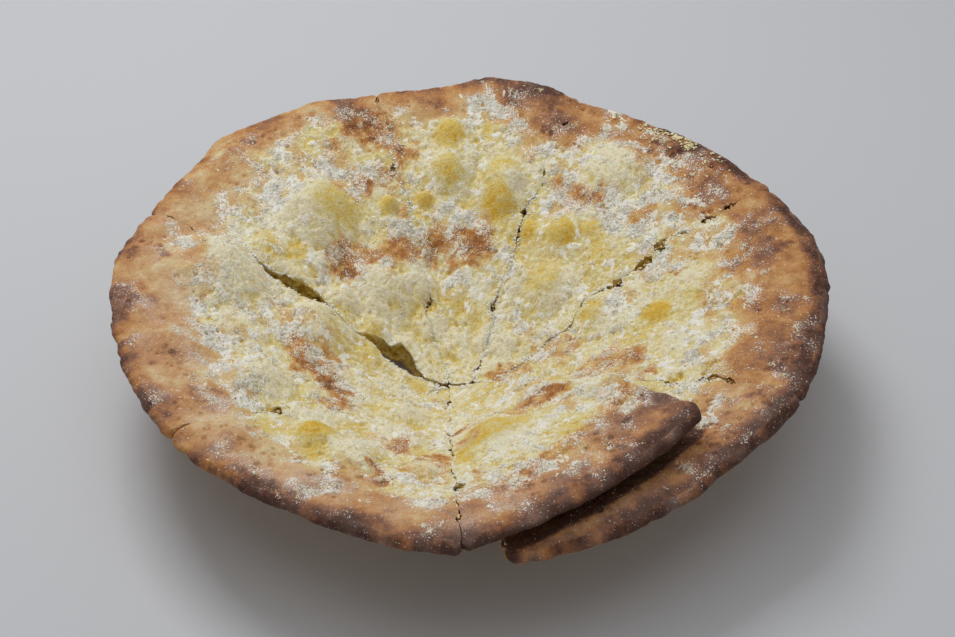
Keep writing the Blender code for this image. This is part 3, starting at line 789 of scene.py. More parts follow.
def browning(wedge, points):
    """The looks of a top: how browned it is, and how much cheese, flakes, dust and so on each point has."""
    group = wedge.group
    angle = direction(points)
    rim_distance = wedge.from_rim(points)
    if group == "over":
        width = np.interp(wedge.share_across(points), (0, 1), OVER_CRUST_WIDTH)
    else:
        width = np.interp(angle, *zip(*CRUST_WIDTHS))
    width = width * (1 + 0.35 * waves(points, 15, 3)) + 4 * waves(points, 6, 4)
    inward = rim_distance / width
    crust = 1 - ease((inward - 0.62) / 0.55)
    edge = 1 - ease(rim_distance / EDGE_TOAST_AND_SHADE_WIDTH)
    border = np.exp(-(((inward - 1.0) / 0.3) ** 2))
    warp = random_shifts(points, 8, 5)
    rough = random_shifts(points, 3, 7)
    bent = points + 7 * warp + 2.5 * rough
    brown_and_shadow = spots(bent, BROWN_AND_SHADOW_SPOTS[group], 1.0, 1.3) * (1.45 - 0.45 * crust)
    tan = np.minimum(1.35 * spots(bent, TAN_SPOTS[group], 1.0, 1.3), 1)
    tan = np.maximum(tan, 0.75 * spots(bent, BROWN_AND_SHADOW_SPOTS[group], 1.45, 1.5))
    thick = spots(bent, GRATED_SPOTS[group], 1.15)
    thin = 1 - thick
    porous = spots(points, POROUS_SPOTS[group])

    uneven = 0.4 * waves(points, 19, 9) + 0.22 * waves(points, 6, 10) + 0.1 * waves(points, 2.4, 11)
    # Crust darkened by direction and by group, with painted shade on the raised wedge.
    toast = 0.26 + np.interp(angle, *zip(*SIDE_DARKENING)) + GROUP_TOAST_AND_SHADE[group]
    toast = crust * (toast + 0.12 * (1 - ease(inward / 0.6)) + uneven)
    # The outermost edge is darker: real browning, and painted shade on the front and right edges.
    toast = toast + edge * np.interp(angle, *zip(*EDGE_TOAST_AND_SHADE))
    # Browned patches darken the top; on the pressed wedge some of them are painted shadow.
    burnt_and_shadow = brown_and_shadow * (0.78 + 0.8 * waves(points, 3, 12) + 0.5 * waves(points, 1.4, 96) + 0.3 * crust)
    toast = 1 - (1 - np.clip(toast, 0, 1)) * (1 - np.clip(burnt_and_shadow, 0, 0.6 + 0.15 * crust))
    tanned = 0.5 * tan * (1 + waves(points, 5, 101))
    toast += np.maximum(0.26 * np.maximum(thick, border), tanned) * (1 - crust)

    cheese = ease((inward - 0.66) / 0.5) * (1 - np.clip(1.8 * brown_and_shadow, 0, 1)) * (1 - tan)
    cheese *= 1 - 0.75 * np.clip(thick + 0.7 * border + 1.2 * waves(points, 11, 97) - 0.1, 0, 1)
    yellow = 0.95 * spots(points + 1.5 * warp + 0.5 * rough, YELLOW_SPOTS[group], 1.0, 0.8)
    yellow = 1 - (1 - yellow) * (1 - np.clip(0.17 + 0.5 * waves(points, 16, 13), 0, 1))
    yellow *= 1 - spots(bent, PALE_SPOTS[group])
    domes = [(x, y, radius, ease(rise / 2)) for x, y, radius, rise in BLISTERS[group]]
    dome = hills(points, domes, hump)
    skins = [(x, y, radius, 1) for x, y, radius, _ in SKINS[group]]
    skin = hills(points, skins, lambda distance: ease((1.1 - distance) / 0.3))

    around_brown = brown_and_shadow * (1 - brown_and_shadow) * 4
    patchy = np.clip(0.75 + 2.2 * waves(points, 7, 14), 0.1, 2)
    grated = 0.22 * ease((inward - 0.5) / 0.4) + 0.5 * border + 0.55 * around_brown + 1.1 * thick
    grated *= patchy
    grated *= 1 - 0.75 * ease((yellow - 0.35) / 0.4) * thin
    grated *= (1 - 0.45 * dome * thin) * (1 - 0.85 * skin)
    dusty = np.interp(angle, *zip(*DUSTY_SIDE)) * (1 - 0.6 * edge) + GROUP_DUST[group]
    dust = crust * (dusty + (0.1 + 0.5 * dusty) * waves(points, 12, 15))
    dust = np.clip(dust + 0.35 * np.minimum(grated, 1) * (1 - cheese), 0, 1)
    cover = 0.62 * np.minimum(grated, 1.4) - 0.5 - 0.75 * crust * thin - 0.3 * dome * thin
    cover += 0.6 * waves(points, 15, 87) - 0.75 * ease(brown_and_shadow / 0.4) - 0.4 * porous
    cover -= 0.5 * ease((yellow - 0.4) / 0.3) * thin + 0.8 * skin
    grated *= (1 - 0.6 * porous) * (1 - 0.4 * ease(brown_and_shadow / 0.5))
    # On the wedge pressed under the raised one, a band along the raised wedge's edge is painted dark as its
    # shadow, without grated cheese or dust.
    if group == "under":
        over = Wedge("slice_over", "front", "over")
        painted_shadow = ease(over.from_rim(points) / PAINTED_SHADOW_REACH + 1)
        painted_shadow *= ease((1.12 - over.share_across(points)) / 0.12)
        toast = np.maximum(toast, 1.2 * painted_shadow)
        grated *= 1 - painted_shadow
        dust *= 1 - painted_shadow
    return {
        "lace": lace(points, cover),
        "toast": np.clip(toast, 0, 1),
        "cheese": np.clip(cheese, 0, 1),
        "yellow": np.clip(yellow, 0, 1),
        "dust": dust,
        "grated": np.clip(grated, 0, 2),
        "crust": crust,
        "dome": dome,
        "skin": skin,
    }


def lace(points, cover):
    """Grated cheese that melted into a torn white coat: 1 on its flakes and threads, 0 in its holes."""
    bent = points + 1.6 * random_shifts(points, 2.5, 81)
    pattern = waves(bent, 5.0, 83) + 1.1 * waves(bent, 2.2, 84) + 0.8 * waves(points, 1.2, 85)
    return ease((pattern + cover) / 0.3)


def curd_tree(draw, outline):
    """Soft lumps of melted cheese, as a search tree with their radii and heights."""
    places = random_inside(draw, outline, CURD_TRIES, 2)
    radii = draw.uniform(*CURD_RADII, len(places))
    return search_tree(places), radii, radii * draw.uniform(*CURD_RISES, len(places))


def curds(points, tree, radii, heights):
    """Height of the highest soft lump at each point."""
    found = np.zeros(len(points))
    for i, (x, y) in enumerate(points):
        for _, lump, distance in tree.find_range((x, y, 0), CURD_RADII[1]):
            found[i] = max(found[i], heights[lump] * max(0.0, 1 - (distance / radii[lump]) ** 2))
    return found


def fine_relief(points, looks, lumps_high, puffed):
    """The small shapes of the top: pillows and lumps of cheese, grains, and the leathery crust."""
    inner = 1 - looks["crust"]
    bent = points + 4 * random_shifts(points, 9, 91)
    pillows = 1.2 * np.abs(waves(bent, 20, 93)) + 1.2 * np.abs(waves(bent, 9, 16))
    pillows += 0.7 * np.abs(waves(points, 4, 94))
    puffs = 0.6 * lumps_high + pillows + 0.4 * waves(points, 4.5, 17) - 0.7
    grains = 0.5 * waves(points, 1.9, 18) + 0.5 * waves(points, 1.1, 86)
    leather = 0.8 * waves(points, 8, 19) + 0.4 * waves(points, 3, 20) + 0.26 * waves(points, 1.6, 21)
    # How raised each point is; the material paints the low places darker and more olive, as painted shade.
    looks["peak"] = np.clip(0.66 + (puffs + 0.5 * puffed - 1.0) * 0.3 + grains, 0, 1)
    puffs *= (1 - 0.4 * looks["dome"]) * (1 - 0.8 * looks["skin"])
    grains *= 1 - 0.6 * looks["skin"]
    return inner * (puffs + puffed + grains) + looks["crust"] * leather + 0.42 * looks["lace"]


# What the mesh tells the material at each point
MASKS = ("toast", "cheese", "yellow", "dust", "crumb", "peak", "lace", "inner", "flecks")


def dress_top(wedge, draw, ring, top):
    """Heights and looks of the top of a wedge at its points."""
    looks = browning(wedge, top)
    inner = 1 - looks["crust"]
    cut_distance, at_cut = nearest_cut(top, ring)
    edge = np.clip(1 - cut_distance / (SHOULDER_WIDTH + 0.6 * ring.gape[at_cut]), 0, 1) ** 2
    depth, bare = tears(top, TEARS[wedge.group])
    outline = ring.points[::4]
    pit = pits(top, *pit_tree(draw, wedge, outline))
    lumps_high = curds(top, *curd_tree(draw, outline))
    bend = 3.5 * random_shifts(top, 7, 98)
    puffed = hills(top + bend, PUFFS[wedge.group], mound)
    height = wedge.smooth_top(top) + fine_relief(top, looks, lumps_high, puffed) * (1 - 0.5 * edge)
    height += hills(top + bend / 4, SKINS[wedge.group], mound)
    pushed = ring.lip[at_cut] * ease(1 - cut_distance / LIP_WIDTH)
    pushed *= np.clip(0.9 + 2.4 * waves(top, 12, 88), 0, 2)
    pushed *= ease((LIP_REACH - lengths(top - CENTRE)) / 20)
    height += pushed * inner - ring.shoulder[at_cut] * edge - depth - PIT_DEPTH * pit

    looks["crumb"] = np.clip(bare + 0.55 * pit * inner, 0, 1)
    looks["toast"] = np.clip(looks["toast"] + 0.12 * pit, 0, 1)
    for name in ("grated", "lace"):
        looks[name] *= (1 - bare) * (1 - pit)
    looks["inner"] = inner
    flecks = np.clip(0.1 * inner + 0.8 * looks["grated"], 0, 1)
    looks["flecks"] = flecks * (1 - bare) * (1 - looks["skin"])
    seam = ease(1 - cut_distance / SEAM_WIDTH) * (0.05 + inner)
    looks["seam"] = seam * np.clip(0.5 + 2.5 * waves(top, 6, 95), 0.1, 1.5)
    return height, looks


def wall_row(wedge, ring, share, high, low, at_edge):
    """One row of the wall round a wedge, a share of the way down: its points and looks."""
    turn = math.radians(90 - 180 * share)
    on_rim = ring.rim_share
    on_cut = 1 - on_rim
    round_out = EDGE_INSET * math.cos(turn) + (EDGE_INSET - EDGE_BOTTOM_INSET) * (1 - math.sin(turn)) / 2
    out = on_rim * round_out - on_cut * 0.7 * math.cos(turn)
    round_z = (high + low) / 2 + (high - low) / 2 * math.sin(turn)
    z = on_rim * round_z + on_cut * (high + (low - high) * share)
    at = ring.points + ring.foot * ease(share / OPEN_TO) + ring.outwards * out[:, None]
    at = np.column_stack((at, z))
    leather = 0.9 * waves(at, 7, 19) + 0.45 * waves(at, 3.2, 20) + 0.25 * waves(at, 1.7, 21)
    crumb = 3.2 * np.abs(waves(at, 4.5, 22)) + 2.0 * np.abs(waves(at, 2.0, 23))
    open_wide = np.minimum(lengths(ring.foot) / 1.2, 1)
    recess = crumb * ease((share - 0.3 * (1 - open_wide)) / 0.25) * ease((1 - share) / 0.2)
    at[:, :2] += ring.outwards * (math.cos(turn) * on_rim * leather - on_cut * recess)[:, None]

    fading = 1 - ease(share / 0.3)
    bare_side = on_cut * ease(share / 0.22) * (1 - 0.85 * ease((share - 0.8) / 0.2))
    toast = at_edge["toast"] + 0.08 * ease(share / 0.4) + 0.3 * waves(at, 7, 24)
    outside_painted_shade, pale = 1, 1.05
    # On the raised wedge, the lower half of the crust wall is painted darker and kept free of dust: painted
    # shade under its edge. Its cut sides get paler crumb.
    if wedge.group == "over":
        toast = toast + 0.8 * ease((share - 0.35) / 0.25)
        outside_painted_shade, pale = 1 - ease((share - 0.3) / 0.3), 1.35
    return at, {
        "toast": np.clip(toast, 0, 1),
        "cheese": at_edge["cheese"] * fading,
        "yellow": at_edge["yellow"],
        "dust": np.clip(outside_painted_shade * on_rim * (0.12 + 0.4 * waves(at, 8, 25)), 0, 1),
        "crumb": bare_side * (0.25 + 0.75 * at_edge["inner"]),
        # Deeper recesses of the cut sides get darker crumb: painted shade.
        "peak": np.where(on_rim < 0.5, np.clip(pale - 0.6 * crumb, 0, 1), 0.5),
        "lace": at_edge["lace"] * fading,
        "inner": at_edge["inner"] * on_cut,
        "flecks": at_edge["flecks"] * fading,
    }


def underside_looks(points):
    looks = {name: np.zeros(len(points)) for name in MASKS}
    looks["toast"] = np.clip(0.36 + 0.7 * waves(points, 11, 26) + 0.35 * waves(points, 4, 27), 0, 1)
    looks["dust"] = np.clip(0.12 + 0.5 * waves(points, 9, 28), 0, 1)
    looks["peak"] += 0.5
    return looks


def wedge_arrays(wedge, draw):
    """The closed fine mesh of a wedge: vertices, faces and masks. Then the looks of its top and the number of
    faces there, the vertices along its cuts, and the places in its open cuts where crumbs can lie."""
    ring = wedge.ring()
    size = len(ring.points)
    top, top_faces, top_ring = sheet(ring.points, 2)
    height, looks = dress_top(wedge, draw, ring, top)
    inset = (EDGE_INSET - EDGE_BOTTOM_INSET) * ring.rim_share
    bottom, bottom_faces, bottom_ring = sheet(ring.points + ring.foot + ring.outwards * inset[:, None], 1)
    bottom = np.column_stack((bottom, wedge.underside(bottom)))

    high = height[top_ring]
    low = bottom[bottom_ring, 2]
    at_edge = {name: looks[name][top_ring] for name in MASKS}
    walls = [wall_row(wedge, ring, row / WALL_ROWS, high, low, at_edge) for row in range(1, WALL_ROWS)]
    wall_points, wall_looks = zip(*walls)
    vertices = np.concatenate((np.column_stack((top, height)), *wall_points, bottom))
    parts = (looks, *wall_looks, underside_looks(bottom))
    masks = {name: np.concatenate([part[name] for part in parts]) for name in MASKS}

    bottom_start = len(vertices) - len(bottom)
    rows = [len(top) + size * i + np.arange(size) for i in range(WALL_ROWS - 1)]
    rows = [top_ring, *rows, bottom_start + bottom_ring]
    faces = [top_faces, bottom_start + bottom_faces[:, ::-1]]
    for upper, lower in zip(rows, rows[1:]):
        next_upper, next_lower = np.roll(upper, -1), np.roll(lower, -1)
        faces.append(np.stack((lower, next_lower, next_upper), axis=1))
        faces.append(np.stack((lower, next_upper, upper), axis=1))

    in_gap = (lengths(ring.foot) > 0.25) & (ring.gape < 0.3)
    gap_height = high - draw.uniform(*GAP_CRUMB_DEPTH, size)
    fill = np.column_stack((ring.points + 0.8 * ring.foot, gap_height))[in_gap]
    return vertices, np.concatenate(faces), masks, looks, len(top_faces), top_ring[ring.rim_share < 0.5], fill


def sharpen(mesh, places):
    """Keeps the shading of a top apart from that of its sides, along the vertices of its cuts."""
    along_cut = np.zeros(len(mesh.vertices), dtype=bool)
    along_cut[places] = True
    ends = np.empty(2 * len(mesh.edges), dtype=int)
    mesh.edges.foreach_get("vertices", ends)
    sharp = mesh.attributes.new("sharp_edge", "BOOLEAN", "EDGE")
    sharp.data.foreach_set("value", along_cut[ends.reshape(-1, 2)].all(axis=1))


def new_piece(name, vertices, faces, attributes, material):
    """A mesh object in the frame from arrays in the layout's millimetres."""
    mesh = bpy.data.meshes.new(name)
    mesh.from_pydata(((vertices + LAYOUT_SHIFT) * MM).tolist(), [], faces.tolist())
    for key, values in attributes.items():
        mesh.attributes.new(key, "FLOAT", "POINT").data.foreach_set("value", values.astype(np.float32))
    mesh.materials.append(material)
    mesh.shade_smooth()
    piece = bpy.data.objects.new(name, mesh)
    scene.collection.objects.link(piece)
    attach(piece, BODY)
    return piece


# ---------------------------------------------------------------- materials
def colour(red, green, blue):
    """A colour as it looks on a screen, 0 to 255, in the linear numbers that Blender takes."""
    shares = [c / 255 for c in (red, green, blue)]
    return (*[c / 12.92 if c <= 0.04045 else ((c + 0.055) / 1.055) ** 2.4 for c in shares], 1.0)


class Shading:
    """Adds nodes to one material. Each method except put, node and bump returns an output socket."""

    def __init__(self, name):
        self.material = bpy.data.materials.new(name)
        self.material.use_nodes = True
        self.tree = self.material.node_tree
        self.shader = self.tree.nodes["Principled BSDF"]
        self.coordinates = self.tree.nodes.new("ShaderNodeTexCoord").outputs["Object"]

    def put(self, value, socket):
        if isinstance(value, bpy.types.NodeSocket):
            self.tree.links.new(value, socket)
        else:
            socket.default_value = value

    def node(self, kind, inputs, **settings):
        """A new node with its settings, and with a value or a socket on each input."""
        node = self.tree.nodes.new("ShaderNode" + kind)
        for key, value in settings.items():
            setattr(node, key, value)
        for key, value in inputs.items():
            self.put(value, node.inputs[key])
        return node

    def attribute(self, name):
        return self.node("Attribute", {}, attribute_name=name).outputs["Fac"]

    def math(self, operation, first, second, clamp=False):
        return self.node("Math", {0: first, 1: second}, operation=operation, use_clamp=clamp).outputs[0]

    def times(self, first, second):
        return self.math("MULTIPLY", first, second)

    def add_scaled(self, base, extra, scale, shift=0.5):
        """base + (extra - shift) * scale, kept between 0 and 1."""
        return self.math("ADD", base, self.times(self.math("SUBTRACT", extra, shift), scale), clamp=True)

    def soft_range(self, value, low, high):
        inputs = {"Value": value, "From Min": low, "From Max": high}
        return self.node("MapRange", inputs, interpolation_type="SMOOTHSTEP").outputs[0]

    def noise(self, size, detail=3.0):
        """Noise from 0 to 1 with features of a size in millimetres."""
        inputs = {"Vector": self.coordinates, "Scale": 1 / (size * MM), "Detail": detail, "Roughness": 0.55}
        return self.node("TexNoise", inputs).outputs["Fac"]

    def grains(self, size):
        """Distance from the middles of round grains of a size in millimetres."""
        inputs = {"Vector": self.coordinates, "Scale": 1 / (size * MM)}
        return self.node("TexVoronoi", inputs).outputs["Distance"]

    def ramp(self, value, stops):
        node = self.node("ValToRGB", {"Fac": value})
        elements = node.color_ramp.elements
        while len(elements) < len(stops):
            elements.new(0.5)
        for element, (place, tint) in zip(elements, stops):
            element.position = place
            element.color = colour(*tint)
        return node.outputs["Color"]

    def mix(self, share, first, second):
        return self.node("Mix", {0: share, 6: first, 7: second}, data_type="RGBA").outputs[2]

    def bump(self, height, depth, strength):
        """Small relief of a depth in millimetres."""
        inputs = {"Strength": strength, "Distance": depth * MM, "Height": height}
        self.put(self.node("Bump", inputs).outputs["Normal"], self.shader.inputs["Normal"])


DOUGH_COLOURS = (
    (0.0, (230, 214, 168)), (0.18, (220, 190, 138)), (0.38, (208, 159, 101)), (0.58, (188, 130, 75)),
    (0.78, (144, 94, 64)), (1.0, (84, 52, 40)),
)
# Cheese from pale to deep yellow; low places are also shifted towards the yellow end, as painted shade.
CHEESE_COLOURS = (
    (0.0, (240, 232, 200)), (0.2, (234, 221, 170)), (0.45, (227, 208, 136)), (0.7, (229, 200, 108)),
    (0.88, (230, 196, 90)), (1.0, (222, 180, 58)),
)
INNER_COLOURS = (
    (0.0, (230, 214, 162)), (0.2, (224, 194, 136)), (0.4, (214, 166, 100)), (0.6, (198, 140, 74)),
    (0.8, (172, 112, 56)), (1.0, (126, 80, 42)),
)
LACE_COLOURS = ((0.3, (252, 250, 240)), (0.6, (245, 238, 214)), (0.85, (230, 208, 160)))
# Crumb from pale to dark olive; its darker end shows in low places, as painted shade.
CRUMB_COLOURS = ((0.0, (246, 234, 172)), (0.5, (236, 208, 106)), (1.0, (202, 162, 50)))
SHRED_COLOURS = (
    (0.0, (254, 253, 246)), (0.45, (250, 244, 222)), (0.75, (234, 208, 160)), (1.0, (198, 152, 98)),
)
DUST_COLOUR = (238, 226, 208)
HAZE_COLOUR = (214, 190, 176)
GAP_COLOURS = ((0.0, (248, 232, 178)), (0.5, (236, 202, 132)), (1.0, (214, 160, 96)))
YELLOW_CRUMB_COLOURS = ((0.0, (252, 244, 208)), (1.0, (242, 222, 162)))
DARK_SPECK_COLOURS = ((0.0, (60, 44, 30)), (1.0, (30, 22, 16)))
# Dark olive of painted shade in small hollows
HOLLOW_SHADE_COLOUR = (164, 122, 44)
FLECK_COLOUR = (253, 251, 242)


def bread_material():
    """Baked dough, cheese that melted into it, bare crumb and pale dust, told apart by the mesh's masks. Low
    places of the relief and a fine pattern of specks are painted darker and more olive, as painted shade.
    """
    s = Shading("bread_baked")
    broad = s.noise(5.0)
    middle = s.noise(1.6)
    fine = s.noise(0.55)
    inner = s.attribute("inner")
    peak = s.attribute("peak")
    dust = s.attribute("dust")
    toast = s.add_scaled(s.attribute("toast"), broad, 0.3)
    toast = s.add_scaled(toast, middle, 0.38)
    dough = s.mix(inner, s.ramp(toast, DOUGH_COLOURS), s.ramp(toast, INNER_COLOURS))
    yellow = s.add_scaled(s.attribute("yellow"), broad, 0.35)
    yellow = s.add_scaled(yellow, middle, 0.25)
    # Low places of the relief turn more yellow and olive: painted shade.
    yellow = s.add_scaled(yellow, peak, -0.8)
    cover = s.soft_range(s.add_scaled(s.attribute("cheese"), middle, 1.1), 0.2, 0.72)
    skin = s.mix(cover, dough, s.ramp(yellow, CHEESE_COLOURS))
    flakes = s.soft_range(s.add_scaled(s.attribute("lace"), fine, 1.1), 0.3, 0.6)
    skin = s.mix(flakes, skin, s.ramp(s.add_scaled(fine, toast, 0.5, 0.3), LACE_COLOURS))
    # The crumb is painted darker in low places: painted shade.
    hollow_shade = s.add_scaled(0.5, peak, -0.9)
    crumb = s.ramp(s.add_scaled(hollow_shade, middle, 0.8), CRUMB_COLOURS)
    skin = s.mix(s.soft_range(s.add_scaled(s.attribute("crumb"), fine, 0.4), 0.15, 0.85), skin, crumb)
    specks = s.soft_range(s.add_scaled(dust, fine, 1.5), 0.4, 0.8)
    skin = s.mix(s.times(specks, 0.4), skin, colour(*DUST_COLOUR))
    skin = s.mix(s.times(dust, 0.4), skin, colour(*HAZE_COLOUR))
    # Olive specks in a fine random pattern over the cheese: painted shade of small hollows.
    pore_shade = s.soft_range(s.math("SUBTRACT", 1.0, s.noise(0.9)), 0.54, 0.68)
    skin = s.mix(s.times(pore_shade, s.times(inner, 0.42)), skin, colour(*HOLLOW_SHADE_COLOUR))
    white = s.soft_range(s.add_scaled(s.noise(0.7, 2.0), s.attribute("flecks"), 0.22, 0.0), 0.66, 0.73)
    skin = s.mix(s.times(white, 0.85), skin, colour(*FLECK_COLOUR))
    s.put(skin, s.shader.inputs["Base Color"])
    s.put(s.add_scaled(0.82, s.attribute("yellow"), -0.28, 0.0), s.shader.inputs["Roughness"])
    s.shader.inputs["Specular IOR Level"].default_value = 0.35
    s.shader.inputs["Subsurface Weight"].default_value = 0.35
    s.shader.inputs["Subsurface Radius"].default_value = (1.0, 0.7, 0.35)
    s.shader.inputs["Subsurface Scale"].default_value = 2 * MM
    s.bump(s.math("ADD", s.times(s.grains(0.9), -0.5), s.times(fine, 0.8)), 0.45, 1.0)
    return s.material


def scattered_material(name, stops):
    """Grated cheese or crumbs: each bit has its own tone, from pale to browned."""
    s = Shading(name)
    tone = s.add_scaled(s.attribute("tone"), s.noise(0.8), 0.3)
    s.put(s.ramp(tone, stops), s.shader.inputs["Base Color"])
    s.put(s.add_scaled(0.75, s.noise(2.0), 0.3), s.shader.inputs["Roughness"])
    s.bump(s.noise(0.3), 0.1, 0.4)
    return s.material


# ---------------------------------------------------------------- scattering
TOP_MASKS = ("grated", "toast", "cheese", "crust", "yellow", "seam")


def from_above(tree, x, y):
    """The point of a top that is seen from straight above, or None beside it."""
    return tree.ray_cast(Vector((x, y, ABOVE_ALL)), Vector((0, 0, -1)))[0]


class Tops:
    """The tops of all wedges, to scatter bits on."""

    def __init__(self):
        self.trees = []
        self.corners = []
        self.wedge_of = []
        self.looks = []

    def add(self, wedge, vertices, faces, looks):
        corners = vertices[faces]
        self.trees.append(BVHTree.FromPolygons(vertices.tolist(), faces.tolist()))
        self.corners.append(corners)
        self.wedge_of.append(np.full(len(faces), len(self.trees) - 1))
        shown = np.ones(len(faces))
        if wedge.group == "under":
            shown = (wedge.from_rim(corners.mean(axis=1)[:, :2]) < UNDER_SHOWN).astype(float)
        face_looks = {name: looks[name][faces].mean(axis=1) for name in TOP_MASKS}
        face_looks["shown"] = shown
        self.looks.append(face_looks)

    def close(self):
        self.corners = np.concatenate(self.corners)
        self.wedge_of = np.concatenate(self.wedge_of)
        self.looks = {name: np.concatenate([part[name] for part in self.looks]) for name in self.looks[0]}
        sides = self.corners[:, 1:] - self.corners[:, :1]
        self.area = lengths(np.cross(sides[:, 0], sides[:, 1])) / 2

    def pick(self, draw, density, count):
        """Random places by density: points, and the numbers of the faces they lie on."""
        weight = density * self.area * self.looks["shown"]
        chosen = draw.choice(len(weight), size=count, p=weight / weight.sum())
        shares = draw.dirichlet((1, 1, 1), count)
        return (self.corners[chosen] * shares[:, :, None]).sum(axis=1), chosen

    def clusters(self, draw, density):
        """Places in small heaps, whose middles are picked by density."""
        middles, chosen = self.pick(draw, density, GRATED_CLUSTERS)
        bits = draw.integers(*CLUSTER_BITS, len(middles), endpoint=True)
        spread = np.repeat(draw.uniform(*CLUSTER_SPREAD, len(middles)), bits)
        places = np.repeat(middles, bits, axis=0)
        chosen = np.repeat(chosen, bits)
        places[:, :2] += draw.normal(0, 0.6, (len(places), 2)) * spread[:, None]
        places[:, 2] = [self.height(face, x, y, z) for face, (x, y, z) in zip(chosen, places)]
        return places, chosen

    def height(self, face, x, y, otherwise):
        """Height of the top at a point, on the wedge that a face belongs to."""
        hit = from_above(self.trees[self.wedge_of[face]], x, y)
        return otherwise if hit is None else hit.z


SPINDLE_FACES = np.array(
    (
        (2, 1, 0), (3, 2, 0), (1, 3, 0), (1, 2, 5), (1, 5, 4), (2, 3, 6), (2, 6, 5), (3, 1, 4), (3, 4, 6),
        (4, 5, 7), (5, 6, 7), (6, 4, 7),
    )
)


def filaments(tops, draw, places, chosen):
    """Thin bent shreds that lie on the top, each a closed spindle of 12 triangles."""
    count = len(places)
    heading = draw.uniform(0, 2 * np.pi, count)
    along = np.stack((np.cos(heading), np.sin(heading)), axis=1)
    side = np.stack((-along[:, 1], along[:, 0]), axis=1)
    length = draw.uniform(*SHRED_LENGTH, count)
    width = draw.uniform(*SHRED_WIDTH, count)
    bend = draw.uniform(-0.3, 0.3, count) * length
    tip_lift = np.maximum(0, draw.normal(0, SHRED_CURL, count))
    nodes = np.zeros((count, 4, 3))
    for i, t in enumerate((-0.5, -0.2, 0.2, 0.5)):
        aside = side * (bend * (4 * t * t - 0.5))[:, None]
        nodes[:, i, :2] = places[:, :2] + along * (length * t)[:, None] + aside
        seat = [tops.height(f, x, y, z) for f, (x, y), z in zip(chosen, nodes[:, i, :2], places[:, 2])]
        seat = np.clip(seat, places[:, 2] - 0.8, places[:, 2] + 0.8)
        nodes[:, i, 2] = seat + 0.05 + tip_lift * max(0, t + 0.2)
    sideways = np.column_stack((side * width[:, None] / 2, np.zeros(count)))
    upwards = np.outer(width * 0.25, (0, 0, 1))
    middles = [nodes[:, i] + shift for i in (1, 2) for shift in (sideways, upwards, -sideways)]
    vertices = np.stack((nodes[:, 0], *middles, nodes[:, 3]), axis=1)
    faces = SPINDLE_FACES[None] + 8 * np.arange(count)[:, None, None]
    return vertices.reshape(-1, 3), faces.reshape(-1, 3), 8


OCTAHEDRON = np.array(((1, 0, 0), (-1, 0, 0), (0, 1, 0), (0, -1, 0), (0, 0, 1), (0, 0, -1)), float)
OCTAHEDRON_FACES = np.array(
    ((0, 2, 4), (2, 1, 4), (1, 3, 4), (3, 0, 4), (2, 0, 5), (1, 2, 5), (3, 1, 5), (0, 3, 5))
)


def lumps(draw, places, size, squash):
    """Small uneven lumps, each a closed form of 8 triangles, half sunk in the top."""
    count = len(places)
    size = draw.uniform(*size, count)[:, None, None] / 2
    shape = OCTAHEDRON[None] * draw.uniform(0.6, 1.3, (count, 6, 1)) + draw.normal(0, 0.18, (count, 6, 3))
    turn = draw.uniform(0, 2 * np.pi, count)[:, None]
    x, y, z = np.moveaxis(shape, 2, 0)
    x, y = x * np.cos(turn) - y * np.sin(turn), x * np.sin(turn) + y * np.cos(turn)
    vertices = np.stack((x, y, z * squash), axis=2) * size + places[:, None, :] + np.array((0, 0, 0.08))
    faces = OCTAHEDRON_FACES[None] + 6 * np.arange(count)[:, None, None]
    return vertices.reshape(-1, 3), faces.reshape(-1, 3), 6


# The yellow crumbs on the upper right rim: x, y, spread, how many
CRUMB_CLUMPS = (
    (84, 117, 3, 30), (90, 112, 4, 60), (98, 106, 4, 110), (102, 99, 3, 50), (70, 126, 5, 25),
    (112, 90, 6, 25),
)
DARK_SPECKS = ((-95, -61), (-93, -60), (-8, 47), (-14, 38), (8, 50), (38, 79), (-20, 55), (20, 26))


def scatter(tops, fill, draw):
    """All the loose bits: shreds, lumps, bits along and in the cuts, dust, yellow crumbs and dark specks."""
    looks = tops.looks
    shreds = scattered_material("cheese_grated", SHRED_COLOURS)
    browned = looks["toast"] * (1 - looks["cheese"])

    def tone_of(chosen, per_bit):
        tone = 0.12 + 0.45 * browned[chosen] + 0.25 * looks["yellow"][chosen]
        tone += draw.normal(0, 0.16, len(chosen))
        return {"tone": np.repeat(np.clip(tone, 0, 1), per_bit)}

    def strew(name, density):
        """Lumps that take their tone from the top they lie on."""
        count, size, squash = LUMPS[name]
        places, chosen = tops.pick(draw, density, count)
        vertices, faces, per_bit = lumps(draw, places, size, squash)
        new_piece(name, vertices, faces, tone_of(chosen, per_bit), shreds)

    places, chosen = tops.clusters(draw, looks["grated"] ** 1.3)
    loose, loose_chosen = tops.pick(draw, looks["grated"] + 0.02, GRATED_LOOSE)
    places, chosen = np.concatenate((places, loose)), np.concatenate((chosen, loose_chosen))
    vertices, faces, per_bit = filaments(tops, draw, places, chosen)
    new_piece("grated_cheese", vertices, faces, tone_of(chosen, per_bit), shreds)

    strew("cheese_lumps", looks["grated"] ** 1.5 + 0.015)
    strew("seam_crumbs", looks["seam"])
    fill = fill[draw.random(len(fill)) < GAP_CRUMBS_KEPT]
    toned_lumps(draw, "gap_crumbs", fill, (0.7, 1.9), 0.8, scattered_material("crumb_bits", GAP_COLOURS))
    strew("cheese_dust", 0.3 * looks["crust"] + 0.12)

    crumbs = []
    for x, y, spread, count in CRUMB_CLUMPS:
        crumbs += ((x, y) + draw.normal(0, spread / 1.5, (count, 2))).tolist()
    drop(tops, draw, "yellow_crumbs", crumbs, (0.8, 2.0), YELLOW_CRUMB_COLOURS)
    drop(tops, draw, "dark_specks", DARK_SPECKS, (0.5, 0.9), DARK_SPECK_COLOURS)


